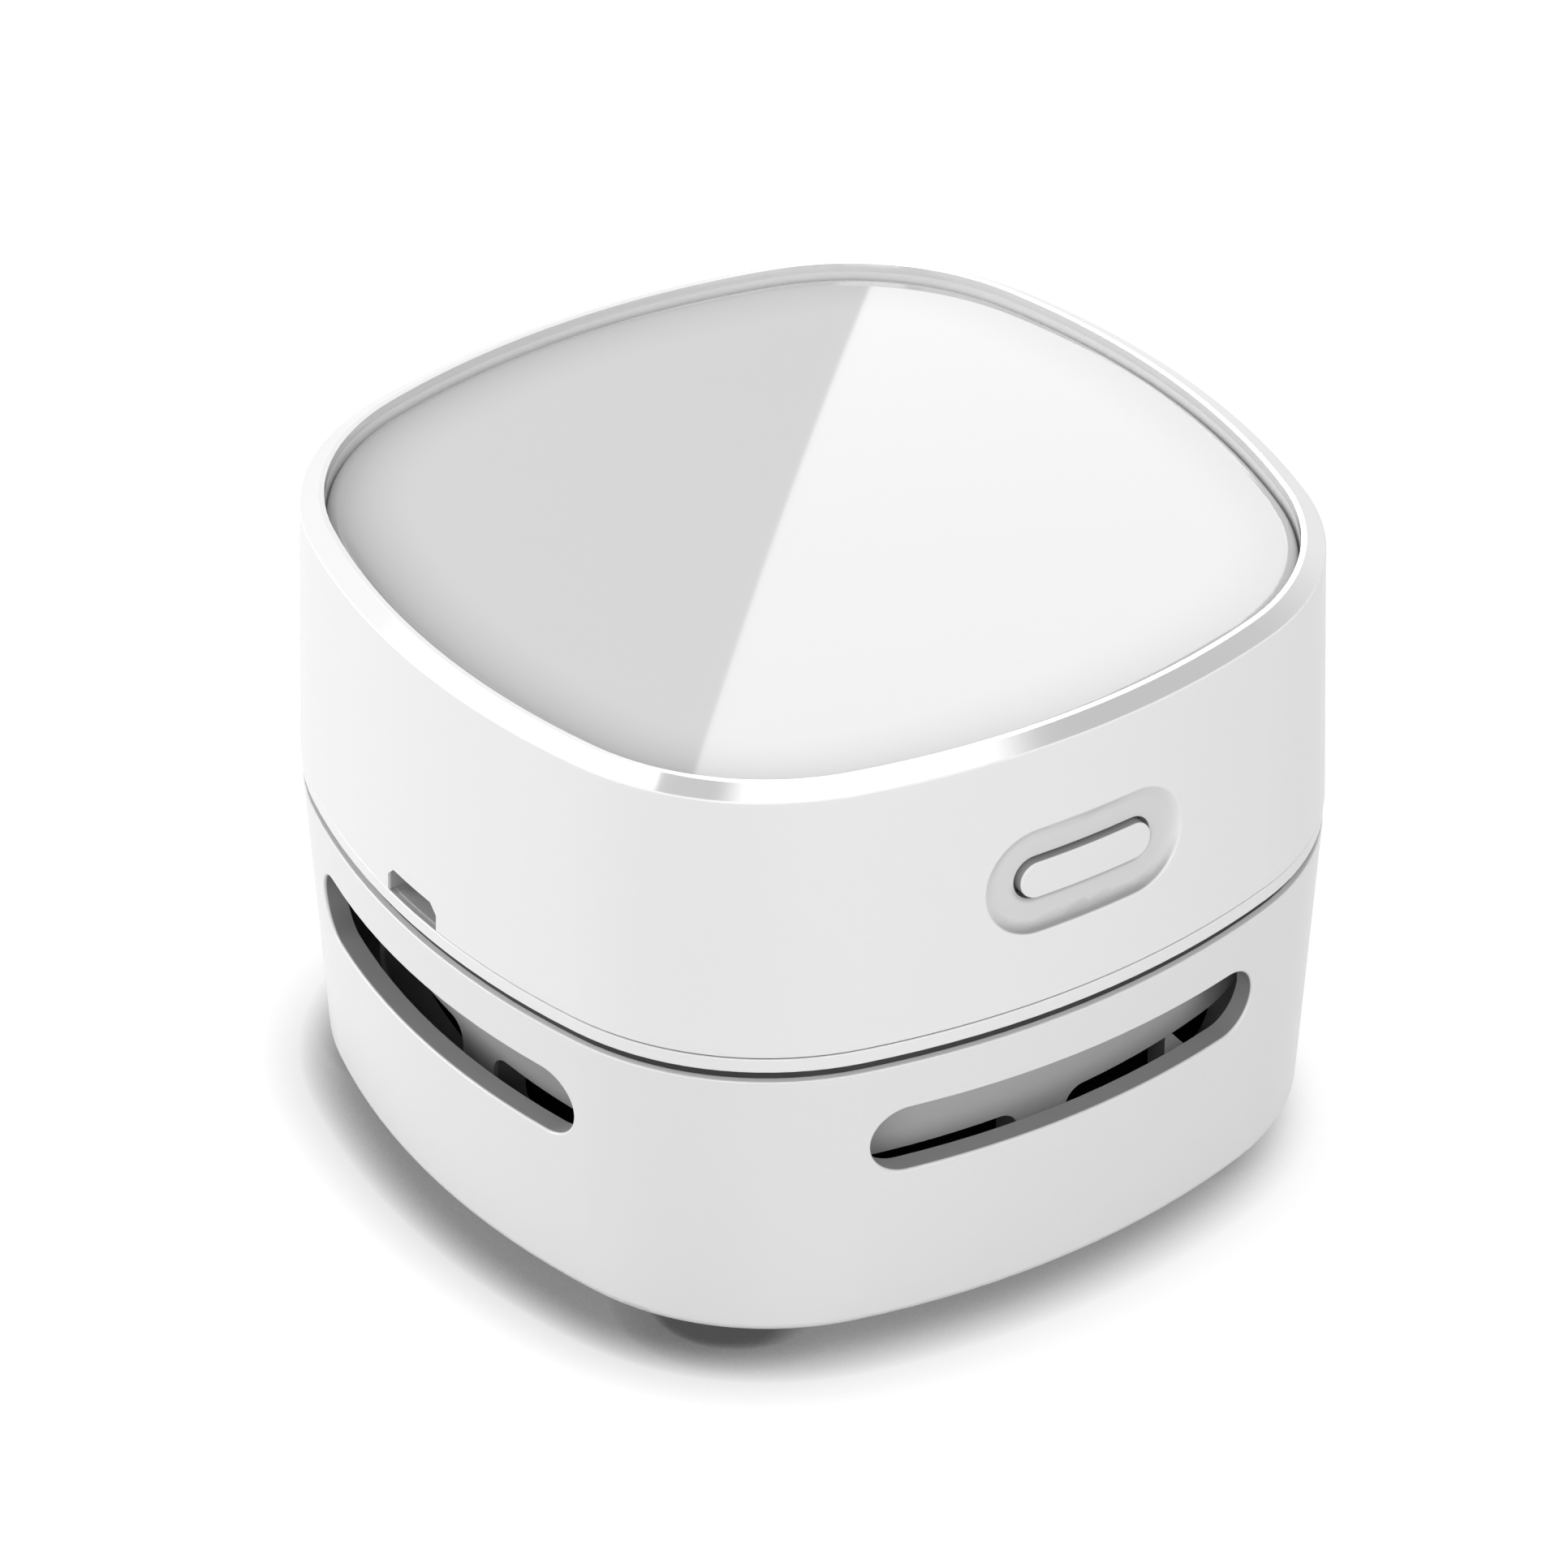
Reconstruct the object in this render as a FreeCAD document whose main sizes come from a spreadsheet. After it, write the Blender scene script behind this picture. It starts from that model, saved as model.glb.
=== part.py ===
import FreeCAD, Part
import Sketcher
import math
import os
import re

# A desktop mini vacuum cleaner: a tapered dust box with four exhaust slots stands on rubber
# feet, and a motor unit with the battery, the fan and the power button lifts off it.
# Millimetres, +Z up, origin on the table under the middle of the case, button towards -Y,
# charging socket towards -X.

SIZES = {
    # case outline: a square of four flat arcs joined by four corner arcs
    "half_width": 41.5,
    "corner_radius": 25.2,
    "side_radius": 78.0,
    "wall": 2.0,
    "floor_thickness": 2.6,
    "bottom_inset": 1.6,
    "bottom_edge_radius": 1.1,
    "lower_top_inset": 0.1,
    "upper_draft": 0.82,
    "bevel_width": 1.7,
    "rim_land": 0.47,
    "edge_radius": 0.15,
    # heights, from the table up
    "foot_height": 3.0,
    "lower_height": 27.64,
    "seam_gap": 0.99,
    "band_height": 1.55,
    "line_height": 0.18,
    "line_depth": 0.7,
    "upper_height": 25.05,
    "bevel_height": 0.92,
    # clearances: between pieces that come apart, pieces fixed together, a shaft in its bore
    "lift_gap": 0.3,
    "fit_gap": 0.1,
    "run_gap": 0.04,
    "press_gap": 0.02,
    # exhaust slots, one in each side of the lower shell
    "slot_length": 40.2,
    "slot_height": 6.8,
    "slot_rise": 19.45,
    "slot_edge_radius": 0.2,
    # dust cage and its filter
    "cage_inset": 6.3,
    "cage_wall": 3.2,
    "window_rise": 5.0,
    "window_height": 6.5,
    "window_width": 17.5,
    "pillar_width": 5.0,
    "corner_window_width": 30.0,
    "window_corner": 1.9,
    "stay_place": 14.8,
    "stay_top": 0.35,
    "stay_foot": 2.4,
    "stay_drop": 2.5,
    "stay_inset": 2.1,
    "stay_depth": 2.4,
    "rib_width": 1.2,
    "rib_height": 1.6,
    "mesh_thickness": 0.5,
    "mesh_height": 8.6,
    "cage_boss_height": 4.0,
    "cage_screw_across": 16.0,
    "cage_screw_setback": 3.8,
    # suction mouth, its plate, duct and brushes
    "mouth_length": 38.0,
    "mouth_width": 11.0,
    "duct_wall": 1.2,
    "eye_length": 15.2,
    "eye_width": 14.8,
    "flange_length": 50.0,
    "flange_width": 17.0,
    "flange_thickness": 1.2,
    "duct_boss_height": 5.0,
    "nozzle_screw_offset": 22.3,
    "nozzle_length": 60.0,
    "nozzle_width": 34.0,
    "nozzle_corner": 6.0,
    "nozzle_thickness": 1.6,
    "nozzle_recess": 1.4,
    "brush_length": 46.0,
    "brush_width": 2.8,
    "brush_offset": 10.5,
    "brush_drop": 2.4,
    "tuft_radius": 0.8,
    "tuft_pitch": 3.1,
    # feet
    "foot_reach": 9.9,
    "foot_radius": 3.6,
    "foot_recess": 0.8,
    "foot_edge": 0.6,
    # screws
    "screw_radius": 1.0,
    "screw_head_radius": 1.8,
    "screw_head_height": 1.1,
    "screw_boss_radius": 2.5,
    "screw_length": 5.5,
    "drive_length": 2.2,
    "drive_width": 0.45,
    "drive_depth": 0.6,
    # chassis
    "spigot_depth": 3.0,
    "spigot_wall": 1.6,
    "post_setback": 4.55,
    "gasket_width": 1.6,
    "seal_inset": 0.75,
    "seal_width": 1.1,
    "deck_boss_height": 2.0,
    # motor and its well
    "motor_radius": 12.2,
    "motor_length": 25.0,
    "motor_cap_radius": 11.7,
    "motor_cap_height": 2.0,
    "motor_nose_radius": 3.1,
    "motor_screw_offset": 8.5,
    "well_depth": 9.0,
    "well_floor": 1.8,
    "well_wall": 1.8,
    "collar_height": 7.0,
    "flange_reach": 3.0,
    "flange_height": 1.2,
    "damper_height": 1.5,
    "shaft_radius": 1.0,
    "bush_radius": 2.2,
    # fan and its cover
    "impeller_radius": 17.0,
    "impeller_hub_radius": 3.0,
    "impeller_plate": 1.0,
    "blade_height": 4.6,
    "blade_thickness": 0.9,
    "blade_bend": 14.0,
    "blade_swing": 11.1,
    "blade_root_radius": 6.6,
    "blade_tip_gap": 0.4,
    "hub_cap_height": 1.6,
    "fan_running_gap": 0.8,
    "cover_radius": 20.5,
    "cover_plate": 1.2,
    "cover_ring_width": 4.6,
    "cover_ring_thickness": 1.6,
    "vane_length": 1.8,
    "vane_thickness": 1.0,
    "ear_offset": 21.5,
    # upper shell
    "panel_drop": 1.05,
    "panel_thickness": 2.0,
    "panel_crown": 0.5,
    "panel_dome_radius": 1450.0,
    "panel_edge_radius": 1.4,
    "ledge_width": 2.0,
    "ledge_thickness": 1.2,
    "post_radius": 2.6,
    "gusset_radius": 2.2,
    "gusset_reach": 1.9,
    # power button
    "button_height": 45.3,
    "button_length": 13.4,
    "button_width": 3.4,
    "button_gap": 0.35,
    "button_inset": 0.1,
    "button_edge_radius": 0.15,
    "dish_length": 20.5,
    "dish_width": 10.3,
    "dish_depth": 0.75,
    "dish_cove_radius": 1.6,
    "dish_edge_radius": 0.2,
    "button_lip": 1.3,
    "button_lip_thickness": 1.0,
    "button_backset": 0.65,
    "button_travel": 0.8,
    "stem_radius": 1.2,
    "stem_length": 1.2,
    "plunger_radius": 1.2,
    "plunger_length": 2.1,
    "switch_side": 6.0,
    "switch_depth": 3.5,
    "switch_board_width": 16.0,
    "switch_margin": 1.5,
    "board_thickness": 1.2,
    "guide_width": 2.0,
    "guide_height": 6.0,
    "guide_side": 1.2,
    # charging socket and main board
    "usb_width": 7.3,
    "usb_height": 2.35,
    "usb_corner": 0.9,
    "usb_depth": 5.4,
    "usb_sheet": 0.3,
    "usb_setback": 0.4,
    "notch_gap": 0.2,
    "board_setback": 2.0,
    "board_length": 17.4,
    "board_half_width": 13.0,
    "board_screw_edge": 3.6,
    "board_screw_side": 5.0,
    "board_rest_edge": 2.4,
    "board_rest_side": 10.0,
    "board_post_radius": 2.0,
    "chip_side": 6.0,
    "chip_height": 1.2,
    "coil_radius": 2.4,
    "coil_height": 2.1,
    "capacitor_radius": 2.0,
    "capacitor_height": 6.0,
    "part_edge": 10.0,
    "part_spread": 6.0,
    # battery
    "battery_radius": 7.1,
    "battery_end_gap": 0.1,
    "battery_gap": 0.8,
    "battery_floor": 1.0,
    "battery_tab": 0.3,
    "saddle_offset": 15.0,
    "saddle_width": 3.0,
    "saddle_arm": 1.3,
    "saddle_grip": 3.0,
    "cradle_reach": 4.0,
    "cradle_thickness": 0.8,
}

FORMULAS = {
    "floor_top": "foot_height + floor_thickness",
    "lower_top": "foot_height + lower_height",
    "band_bottom": "lower_top + seam_gap",
    "band_top": "band_bottom + band_height",
    "bevel_foot": "band_top + upper_height",
    "rim_top": "bevel_foot + bevel_height",
    "opening_inset": "upper_draft + bevel_width + rim_land",
    "side_centre": "side_radius - half_width",
    "arc_spread": "side_radius - corner_radius",
    "corner_centre": "(sqrt(2 * arc_spread^2 - side_centre^2) - side_centre) / 2",
    "slot_centre": "foot_height + slot_rise",
    "mesh_inset": "cage_inset + cage_wall + fit_gap",
    "cage_screw_along": "half_width - cage_inset - cage_wall - cage_screw_setback",
    "foot_offset": "corner_centre + foot_reach",
    "case_screw_offset": "corner_centre + (corner_radius - wall - post_setback) / sqrt(2)",
    "line_bottom": "band_top - line_height",
    "cage_top": "lower_top",
    "cage_boss_top": "floor_top + cage_boss_height",
    "window_low": "floor_top + window_rise",
    "window_high": "window_low + window_height",
    "stay_front": "half_width - cage_inset - stay_inset",
    "deck_boss_top": "band_top + deck_boss_height",
    "recess_top": "foot_height + nozzle_recess",
    "nozzle_bottom": "recess_top - nozzle_thickness",
    "spigot_inset": "lower_top_inset + wall + lift_gap",
    "well_bottom": "band_bottom - well_depth",
    "motor_bottom": "well_bottom + well_floor",
    "motor_top": "motor_bottom + motor_length",
    "well_bore": "motor_radius + fit_gap",
    "well_radius": "well_bore + well_wall",
    "collar_top": "band_top + collar_height",
    "cover_top": "well_bottom",
    "ring_bottom": "cover_top - cover_ring_thickness",
    "disc_top": "ring_bottom - fan_running_gap",
    "disc_bottom": "disc_top - impeller_plate",
    "blade_bottom": "disc_bottom - blade_height",
    "cover_floor": "blade_bottom - fan_running_gap",
    "cover_bottom": "cover_floor - cover_plate",
    "duct_top": "cover_floor - fan_running_gap",
    "duct_shoulder": "cover_bottom - fan_running_gap",
    "ledge_top": "rim_top - panel_drop - panel_thickness",
    "ledge_bottom": "ledge_top - ledge_thickness",
    "panel_inset": "opening_inset + fit_gap",
    "front_face": "half_width - upper_draft * (button_height - band_top) / upper_height",
    "lip_front": "front_face - wall - button_backset",
    "lip_back": "lip_front - button_lip_thickness",
    "stem_end": "lip_back - stem_length",
    "switch_front": "stem_end - button_travel - fit_gap",
    "switch_back": "switch_front - switch_depth",
    "switch_board_back": "switch_back - board_thickness",
    "board_bottom": "band_top + usb_height",
    "board_top": "board_bottom + board_thickness",
    "board_far": "half_width - wall - board_setback",
    "board_near": "board_far - board_length",
    "board_screw_place": "board_near + board_screw_edge",
    "board_rest_place": "board_far - board_rest_edge",
    "part_place": "board_near + part_edge",
    "battery_offset": "well_radius + battery_gap + battery_radius",
    "battery_length": "2 * (case_screw_offset - post_radius - battery_tab - battery_end_gap)",
    "battery_axis": "band_top + battery_floor + battery_radius",
    "dish_spread": "dish_cove_radius - sqrt(dish_depth * (2 * dish_cove_radius - dish_depth))",
}

CORNERS = [("", ""), ("-", ""), ("-", "-"), ("", "-")]
CAGE_SCREWS = [(f"{x}cage_screw_across", f"{y}cage_screw_along") for x, y in CORNERS]
NOZZLE_SCREWS = [("nozzle_screw_offset", "0"), ("-nozzle_screw_offset", "0")]
MOTOR_SCREWS = [("motor_screw_offset", "0"), ("-motor_screw_offset", "0")]
BOARD_SCREWS = [("-board_screw_place", "board_screw_side"), ("-board_screw_place", "-board_screw_side")]
BOARD_RESTS = [("-board_rest_place", "board_rest_side"), ("-board_rest_place", "-board_rest_side")]
FAN_POST_ANGLES = (30, 150, 270)
SIDES = 4
BLADES = 9
VANES = 6
TUFTS = 14
SLACK = 1e-4

doc = FreeCAD.newDocument("desk_vacuum")
sheet = doc.addObject("Spreadsheet::Sheet", "Sizes")


def fill_sheet():
    rows = [(name, str(value)) for name, value in SIZES.items()]
    rows += [(name, f"={text}") for name, text in FORMULAS.items()]
    for row, (name, content) in enumerate(rows, start=1):
        sheet.set(f"A{row}", name)
        sheet.set(f"B{row}", content)
        sheet.setAlias(f"B{row}", name)
    doc.recompute()


def formula(text):
    """The text with every size's name pointed at its cell of the sheet."""

    def pointed(word):
        name = word[0]
        return f"Sizes.{name}" if name in SIZES or name in FORMULAS else name

    return re.sub(r"[a-z_]+", pointed, text)


def size(text):
    return float(sheet.evalExpression(formula(text)))


def tie(item, path, text):
    item.setExpression(path, formula(text))


def corners(name):
    return [(x + name, y + name) for x, y in CORNERS]


def around(radius, angles):
    return [
        (f"{radius} * {math.cos(math.radians(angle)):.6f}", f"{radius} * {math.sin(math.radians(angle)):.6f}")
        for angle in angles
    ]


# ---- sketch shapes, each bound to the sheet ----


def pin(sketch, edge, point, x, y):
    for kind, text in (("DistanceX", x), ("DistanceY", y)):
        number = sketch.addConstraint(Sketcher.Constraint(kind, -1, 1, edge, point, size(text)))
        tie(sketch, f"Constraints[{number}]", text)


def set_radius(sketch, edge, text):
    number = sketch.addConstraint(Sketcher.Constraint("Radius", edge, size(text)))
    tie(sketch, f"Constraints[{number}]", text)


def join(sketch, edges, kind):
    for edge, following in zip(edges, edges[1:] + edges[:1]):
        sketch.addConstraint(Sketcher.Constraint(kind, edge, 2, following, 1))


def arc(sketch, x, y, radius, start, end):
    ring = Part.Circle(FreeCAD.Vector(x, y, 0), FreeCAD.Vector(0, 0, 1), radius)
    return sketch.addGeometry(Part.ArcOfCircle(ring, math.radians(start), math.radians(end)))


def line(sketch, x1, y1, x2, y2):
    return sketch.addGeometry(Part.LineSegment(FreeCAD.Vector(x1, y1, 0), FreeCAD.Vector(x2, y2, 0)))


def circle(sketch, radius, x="0", y="0"):
    middle = FreeCAD.Vector(size(x), size(y), 0)
    edge = sketch.addGeometry(Part.Circle(middle, FreeCAD.Vector(0, 0, 1), size(radius)))
    set_radius(sketch, edge, radius)
    pin(sketch, edge, 3, x, y)


def polygon(sketch, *points):
    places = [(size(x), size(y)) for x, y in points]
    edges = [line(sketch, *here, *after) for here, after in zip(places, places[1:] + places[:1])]
    join(sketch, edges, "Coincident")
    for edge, (x, y) in zip(edges, points):
        pin(sketch, edge, 1, x, y)


def rectangle(sketch, left, low, right, high):
    polygon(sketch, (left, low), (right, low), (right, high), (left, high))


def pill(sketch, length, width, x="0", y="0"):
    """A slot shape along the sketch's x direction."""
    reach = f"({length} - ({width})) / 2"
    radius = f"({width}) / 2"
    right, left, middle, half = size(f"{x} + {reach}"), size(f"{x} - {reach}"), size(y), size(radius)
    edges = [
        arc(sketch, right, middle, half, -90, 90),
        line(sketch, right, middle + half, left, middle + half),
        arc(sketch, left, middle, half, 90, 270),
        line(sketch, left, middle - half, right, middle - half),
    ]
    join(sketch, edges, "Tangent")
    for edge, sign in ((edges[0], "+"), (edges[2], "-")):
        pin(sketch, edge, 3, f"{x} {sign} {reach}", y)
        set_radius(sketch, edge, radius)


def rounded_rectangle(sketch, length, width, corner, x="0", y="0"):
    across, along = f"(({length}) / 2 - ({corner}))", f"(({width}) / 2 - ({corner}))"
    middles = [(f"{x} {a} {across}", f"{y} {b} {along}") for a, b in ("++", "-+", "--", "+-")]
    places = [(size(a), size(b)) for a, b in middles]
    radius = size(corner)
    edges = []
    for turn, (here, after) in enumerate(zip(places, places[1:] + places[:1])):
        start = 90 * turn
        edges.append(arc(sketch, *here, radius, start, start + 90))
        out_x = radius * math.cos(math.radians(start + 90))
        out_y = radius * math.sin(math.radians(start + 90))
        edges.append(line(sketch, here[0] + out_x, here[1] + out_y, after[0] + out_x, after[1] + out_y))
    join(sketch, edges, "Tangent")
    for edge, (a, b) in zip(edges[::2], middles):
        pin(sketch, edge, 3, a, b)
        set_radius(sketch, edge, corner)


def case_outline(sketch, inset):
    """The case's outline moved inwards: four side arcs joined by four tangent corner arcs."""
    centre, corner = size("side_centre"), size("corner_centre")
    reach = math.degrees(math.atan2(corner, corner + centre))
    side, rounding = size(f"side_radius - ({inset})"), size(f"corner_radius - ({inset})")
    edges = []
    for turn in range(SIDES):
        angle = 90 * turn
        cosine, sine = round(math.cos(math.radians(angle))), round(math.sin(math.radians(angle)))
        edges.append(arc(sketch, -centre * cosine, -centre * sine, side, angle - reach, angle + reach))
        x, y = corner * (cosine - sine), corner * (cosine + sine)
        edges.append(arc(sketch, x, y, rounding, angle + reach, angle + 90 - reach))
    join(sketch, edges, "Tangent")
    middles = [("-side_centre", "0"), ("0", "-side_centre"), ("side_centre", "0"), ("0", "side_centre")]
    for edge, (x, y) in zip(edges[::2], middles):
        pin(sketch, edge, 3, x, y)
        set_radius(sketch, edge, f"side_radius - ({inset})")
    for edge in edges[1::2]:
        set_radius(sketch, edge, f"corner_radius - ({inset})")


def blade_outline(sketch):
    """A backward-curved blade: two arcs about one centre, cut off at its root and tip radius."""
    tip = "(impeller_radius - blade_tip_gap)"
    ends = []
    edges = []
    for sign in ("+", "-"):
        bend = f"(blade_bend {sign} blade_thickness / 2)"
        heights = [
            f"({bend}^2 - {radius}^2 - blade_swing^2) / (2 * blade_swing)"
            for radius in (tip, "blade_root_radius")
        ]
        swing, radius = size("blade_swing"), size(bend)
        angles = [math.degrees(math.asin((size(text) + swing) / radius)) for text in heights]
        edges.append(arc(sketch, 0, -swing, radius, *angles))
        pin(sketch, edges[-1], 3, "0", "-blade_swing")
        set_radius(sketch, edges[-1], bend)
        for point, text in ((1, heights[0]), (2, heights[1])):
            level = Sketcher.Constraint("DistanceY", -1, 1, edges[-1], point, size(text))
            number = sketch.addConstraint(level)
            tie(sketch, f"Constraints[{number}]", text)
            ends.append((radius * math.cos(math.radians(angles[point - 1])), size(text)))
    for point, first, second in ((1, ends[0], ends[2]), (2, ends[1], ends[3])):
        cap = line(sketch, *first, *second)
        sketch.addConstraint(Sketcher.Constraint("Coincident", edges[0], point, cap, 1))
        sketch.addConstraint(Sketcher.Constraint("Coincident", edges[1], point, cap, 2))


# ---- features ----


def new_body(label):
    body = doc.addObject("PartDesign::Body", label)
    body.Label = label
    return body


def origin_part(body, role):
    return next(item for item in body.Origin.OriginFeatures if item.Role == role)


def sketch_on(body, lift, shapes, plane="XY_Plane", turn=0.0):
    """A sketch on an origin plane, lifted along its normal, or turned about the plane's y direction."""
    sketch = body.newObject("Sketcher::SketchObject", "Sketch")
    sketch.AttachmentSupport = [(origin_part(body, plane), "")]
    sketch.MapMode = "FlatFace"
    if turn:
        rotation = FreeCAD.Rotation(FreeCAD.Vector(0, 1, 0), turn)
        sketch.AttachmentOffset = FreeCAD.Placement(FreeCAD.Vector(), rotation)
    else:
        tie(sketch, "AttachmentOffset.Base.z", lift)
    for draw, *sizes in shapes:
        draw(sketch, *sizes)
    return sketch


def pad(body, low, high, *shapes, plane="XY_Plane", lean="0"):
    """Material between two distances along the plane's normal; lean is the walls' outward angle."""
    feature = body.newObject("PartDesign::Pad", "Pad")
    feature.Profile = sketch_on(body, low, shapes, plane)
    tie(feature, "Length", f"{high} - ({low})")
    tie(feature, "TaperAngle", lean)
    body.Tip = feature
    return feature


def cut(body, low, high, *shapes, plane="XY_Plane", turn=0.0, lean="0"):
    """Material removed between two distances along the plane's normal."""
    doc.recompute()
    before = body.Shape.Volume
    feature = body.newObject("PartDesign::Pocket", "Pocket")
    feature.Profile = sketch_on(body, low, shapes, plane, turn)
    feature.Reversed = True
    tie(feature, "Length", f"{high} - ({low})")
    tie(feature, "TaperAngle", lean)
    body.Tip = feature
    doc.recompute()
    if body.Shape.Volume >= before:
        raise ValueError(f"{body.Label}: {feature.Name} removes nothing")
    return feature


def case_walls(make, body, low, high, low_inset, high_inset):
    """A pad or a cut with the case's outline that leans from one inset to another."""
    lean = f"atan(({low_inset} - ({high_inset})) / ({high} - ({low})))"
    return make(body, low, high, (case_outline, low_inset), lean=lean)


def loft(body, kind, *sections):
    """Straight walls from one outline to the next; each section is a height and a shape."""
    sketches = [sketch_on(body, lift, [shape]) for lift, shape in sections]
    feature = body.newObject(f"PartDesign::{kind}Loft", "Loft")
    feature.Profile = sketches[0]
    feature.Sections = sketches[1:]
    feature.Ruled = True
    body.Tip = feature
    return feature


def repeat(body, features, count):
    pattern = body.newObject("PartDesign::PolarPattern", "Pattern")
    pattern.Originals = features
    pattern.Axis = (origin_part(body, "Z_Axis"), [""])
    pattern.Angle = 360
    pattern.Occurrences = count
    body.Tip = pattern
    return pattern


def soften(body, radius, chosen):
    """Rounds the edges of the body for which chosen(edge) is true."""
    doc.recompute()
    base = body.Tip
    names = [f"Edge{number}" for number, edge in enumerate(base.Shape.Edges, start=1) if chosen(edge)]
    feature = body.newObject("PartDesign::Fillet", "Fillet")
    feature.Base = (base, names)
    tie(feature, "Radius", radius)
    body.Tip = feature
    return feature


def level_at(*texts):
    """Chooses the edges that lie flat at one of the heights."""

    def chosen(edge):
        box = edge.BoundBox
        return any(abs(box.ZMin - size(text)) + abs(box.ZMax - size(text)) < SLACK for text in texts)

    return chosen


def slot_rim(edge):
    """Chooses the edges where a slot meets the lower shell's outer face."""
    x, y, z = (abs(value) for value in edge.BoundBox.Center)
    inset = size("side_radius") - math.hypot(min(x, y), max(x, y) + size("side_centre"))
    return abs(z - size("slot_centre")) < size("slot_height") and inset < size("wall / 2")


def screws(label, places, head_bottom, tip):
    """Pan-head screws that point up, one solid at each place."""
    body = new_body(label)
    head_top = f"{head_bottom} + screw_head_height"
    pad(body, head_bottom, head_top, *[(circle, "screw_head_radius", x, y) for x, y in places])
    pad(body, head_top, tip, *[(circle, "screw_radius", x, y) for x, y in places])
    cut_drive(body, head_bottom, f"{head_bottom} + drive_depth", places)
    return body


def cut_drive(body, low, high, places):
    """A cross recess in each screw head."""
    for across, along in (("drive_length", "drive_width"), ("drive_width", "drive_length")):
        slots = [
            (rectangle, f"{x} - {across} / 2", f"{y} - {along} / 2", f"{x} + {across} / 2", f"{y} + {along} / 2")
            for x, y in places
        ]
        cut(body, low, high, *slots)


def bosses(places):
    return [(circle, "screw_boss_radius", x, y) for x, y in places]


def bores(places):
    return [(circle, "screw_radius + fit_gap / 2", x, y) for x, y in places]


def head_seats(places):
    return [(circle, "screw_head_radius + fit_gap", x, y) for x, y in places]


def face_cone(label, inset):
    """The front wall's own curve and draft, moved inwards: a cone about the side arc's axis."""
    cone = doc.addObject("Part::Cone", label)
    tie(cone, "Radius1", f"side_radius - ({inset})")
    tie(cone, "Radius2", f"side_radius - upper_draft - ({inset})")
    tie(cone, "Height", "upper_height")
    tie(cone, "Placement.Base.y", "side_centre")
    tie(cone, "Placement.Base.z", "band_top")
    return cone


def boolean(kind, label, base, tool):
    result = doc.addObject(f"Part::{kind}", label)
    result.Base = base
    result.Tool = tool
    return result


def has_surface(kind):
    return lambda face: isinstance(face.Surface, kind)


def round_rims(label, base, radius, chosen):
    """The piece named label: base with the rims of the faces for which chosen(face) is true rounded."""
    doc.recompute()
    rims = [edge for face in base.Shape.Faces if chosen(face) for edge in face.Edges]
    rounded = doc.addObject("Part::Fillet", label)
    rounded.Base = base
    rounded.Edges = [
        (number, size(radius), size(radius))
        for number, edge in enumerate(base.Shape.Edges, start=1)
        if any(edge.isSame(rim) for rim in rims)
    ]
    return rounded


# ---- dust box ----


def make_lower_shell():
    body = new_body("lower_shell")
    case_walls(pad, body, "foot_height", "lower_top", "bottom_inset", "lower_top_inset")
    soften(body, "bottom_edge_radius", level_at("foot_height"))
    soften(body, "edge_radius", level_at("lower_top"))
    case_walls(cut, body, "floor_top", "lower_top", "bottom_inset + wall", "lower_top_inset + wall")
    pad(
        body,
        "floor_top",
        "floor_top + rib_height",
        (case_outline, "cage_inset - fit_gap - rib_width"),
        (case_outline, "cage_inset - fit_gap"),
    )
    slot = (pill, "slot_length", "slot_height", "0", "slot_centre")
    for plane in ("XZ_Plane", "YZ_Plane"):
        cut(body, "-half_width", "half_width", slot, plane=plane)
    soften(body, "slot_edge_radius", slot_rim)
    nozzle = (rounded_rectangle, "nozzle_length + fit_gap", "nozzle_width + fit_gap", "nozzle_corner")
    cut(body, "foot_height", "recess_top", nozzle)
    cut(body, "foot_height", "floor_top", (pill, "mouth_length", "mouth_width"))
    cut(body, "foot_height", "floor_top", *bores(NOZZLE_SCREWS + CAGE_SCREWS))
    cut(body, "foot_height", "foot_height + screw_head_height", *head_seats(CAGE_SCREWS))
    feet = [(circle, "foot_radius + fit_gap", x, y) for x, y in corners("foot_offset")]
    cut(body, "foot_height", "foot_height + foot_recess", *feet)
    return body


def cut_window(body, width, place, turn=0.0):
    middle = "(window_low + window_high) / 2"
    window = (rounded_rectangle, width, "window_height", "window_corner", place, middle)
    return cut(body, "0", "half_width", window, plane="XZ_Plane", turn=turn)


def make_dust_cage():
    """A ring parallel to the case; each long window runs round a corner, and the front one has a stay."""
    body = new_body("dust_cage")
    pad(body, "floor_top", "cage_top", (case_outline, "cage_inset"), (case_outline, "cage_inset + cage_wall"))
    pad(body, "floor_top", "cage_boss_top", *bosses(CAGE_SCREWS))
    cut(body, "floor_top", "cage_boss_top", *bores(CAGE_SCREWS))
    beside_pillar = "(pillar_width + window_width) / 2"
    windows = [
        cut_window(body, "window_width", beside_pillar),
        cut_window(body, "window_width", f"-{beside_pillar}"),
        cut_window(body, "corner_window_width", "0", turn=180 / SIDES),
    ]
    repeat(body, windows, SIDES)
    stay = (
        polygon,
        ("stay_place", "window_low"),
        ("stay_place + stay_foot", "window_low"),
        ("stay_place + stay_foot", "window_high - stay_drop"),
        ("stay_place + stay_top", "window_high"),
        ("stay_place", "window_high"),
    )
    pad(body, "stay_front - stay_depth", "stay_front", stay, plane="XZ_Plane")
    return body


def make_filter_mesh():
    body = new_body("filter_mesh")
    ring = ((case_outline, "mesh_inset"), (case_outline, "mesh_inset + mesh_thickness"))
    pad(body, "cage_boss_top", "cage_boss_top + mesh_height", *ring)
    return body


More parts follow.
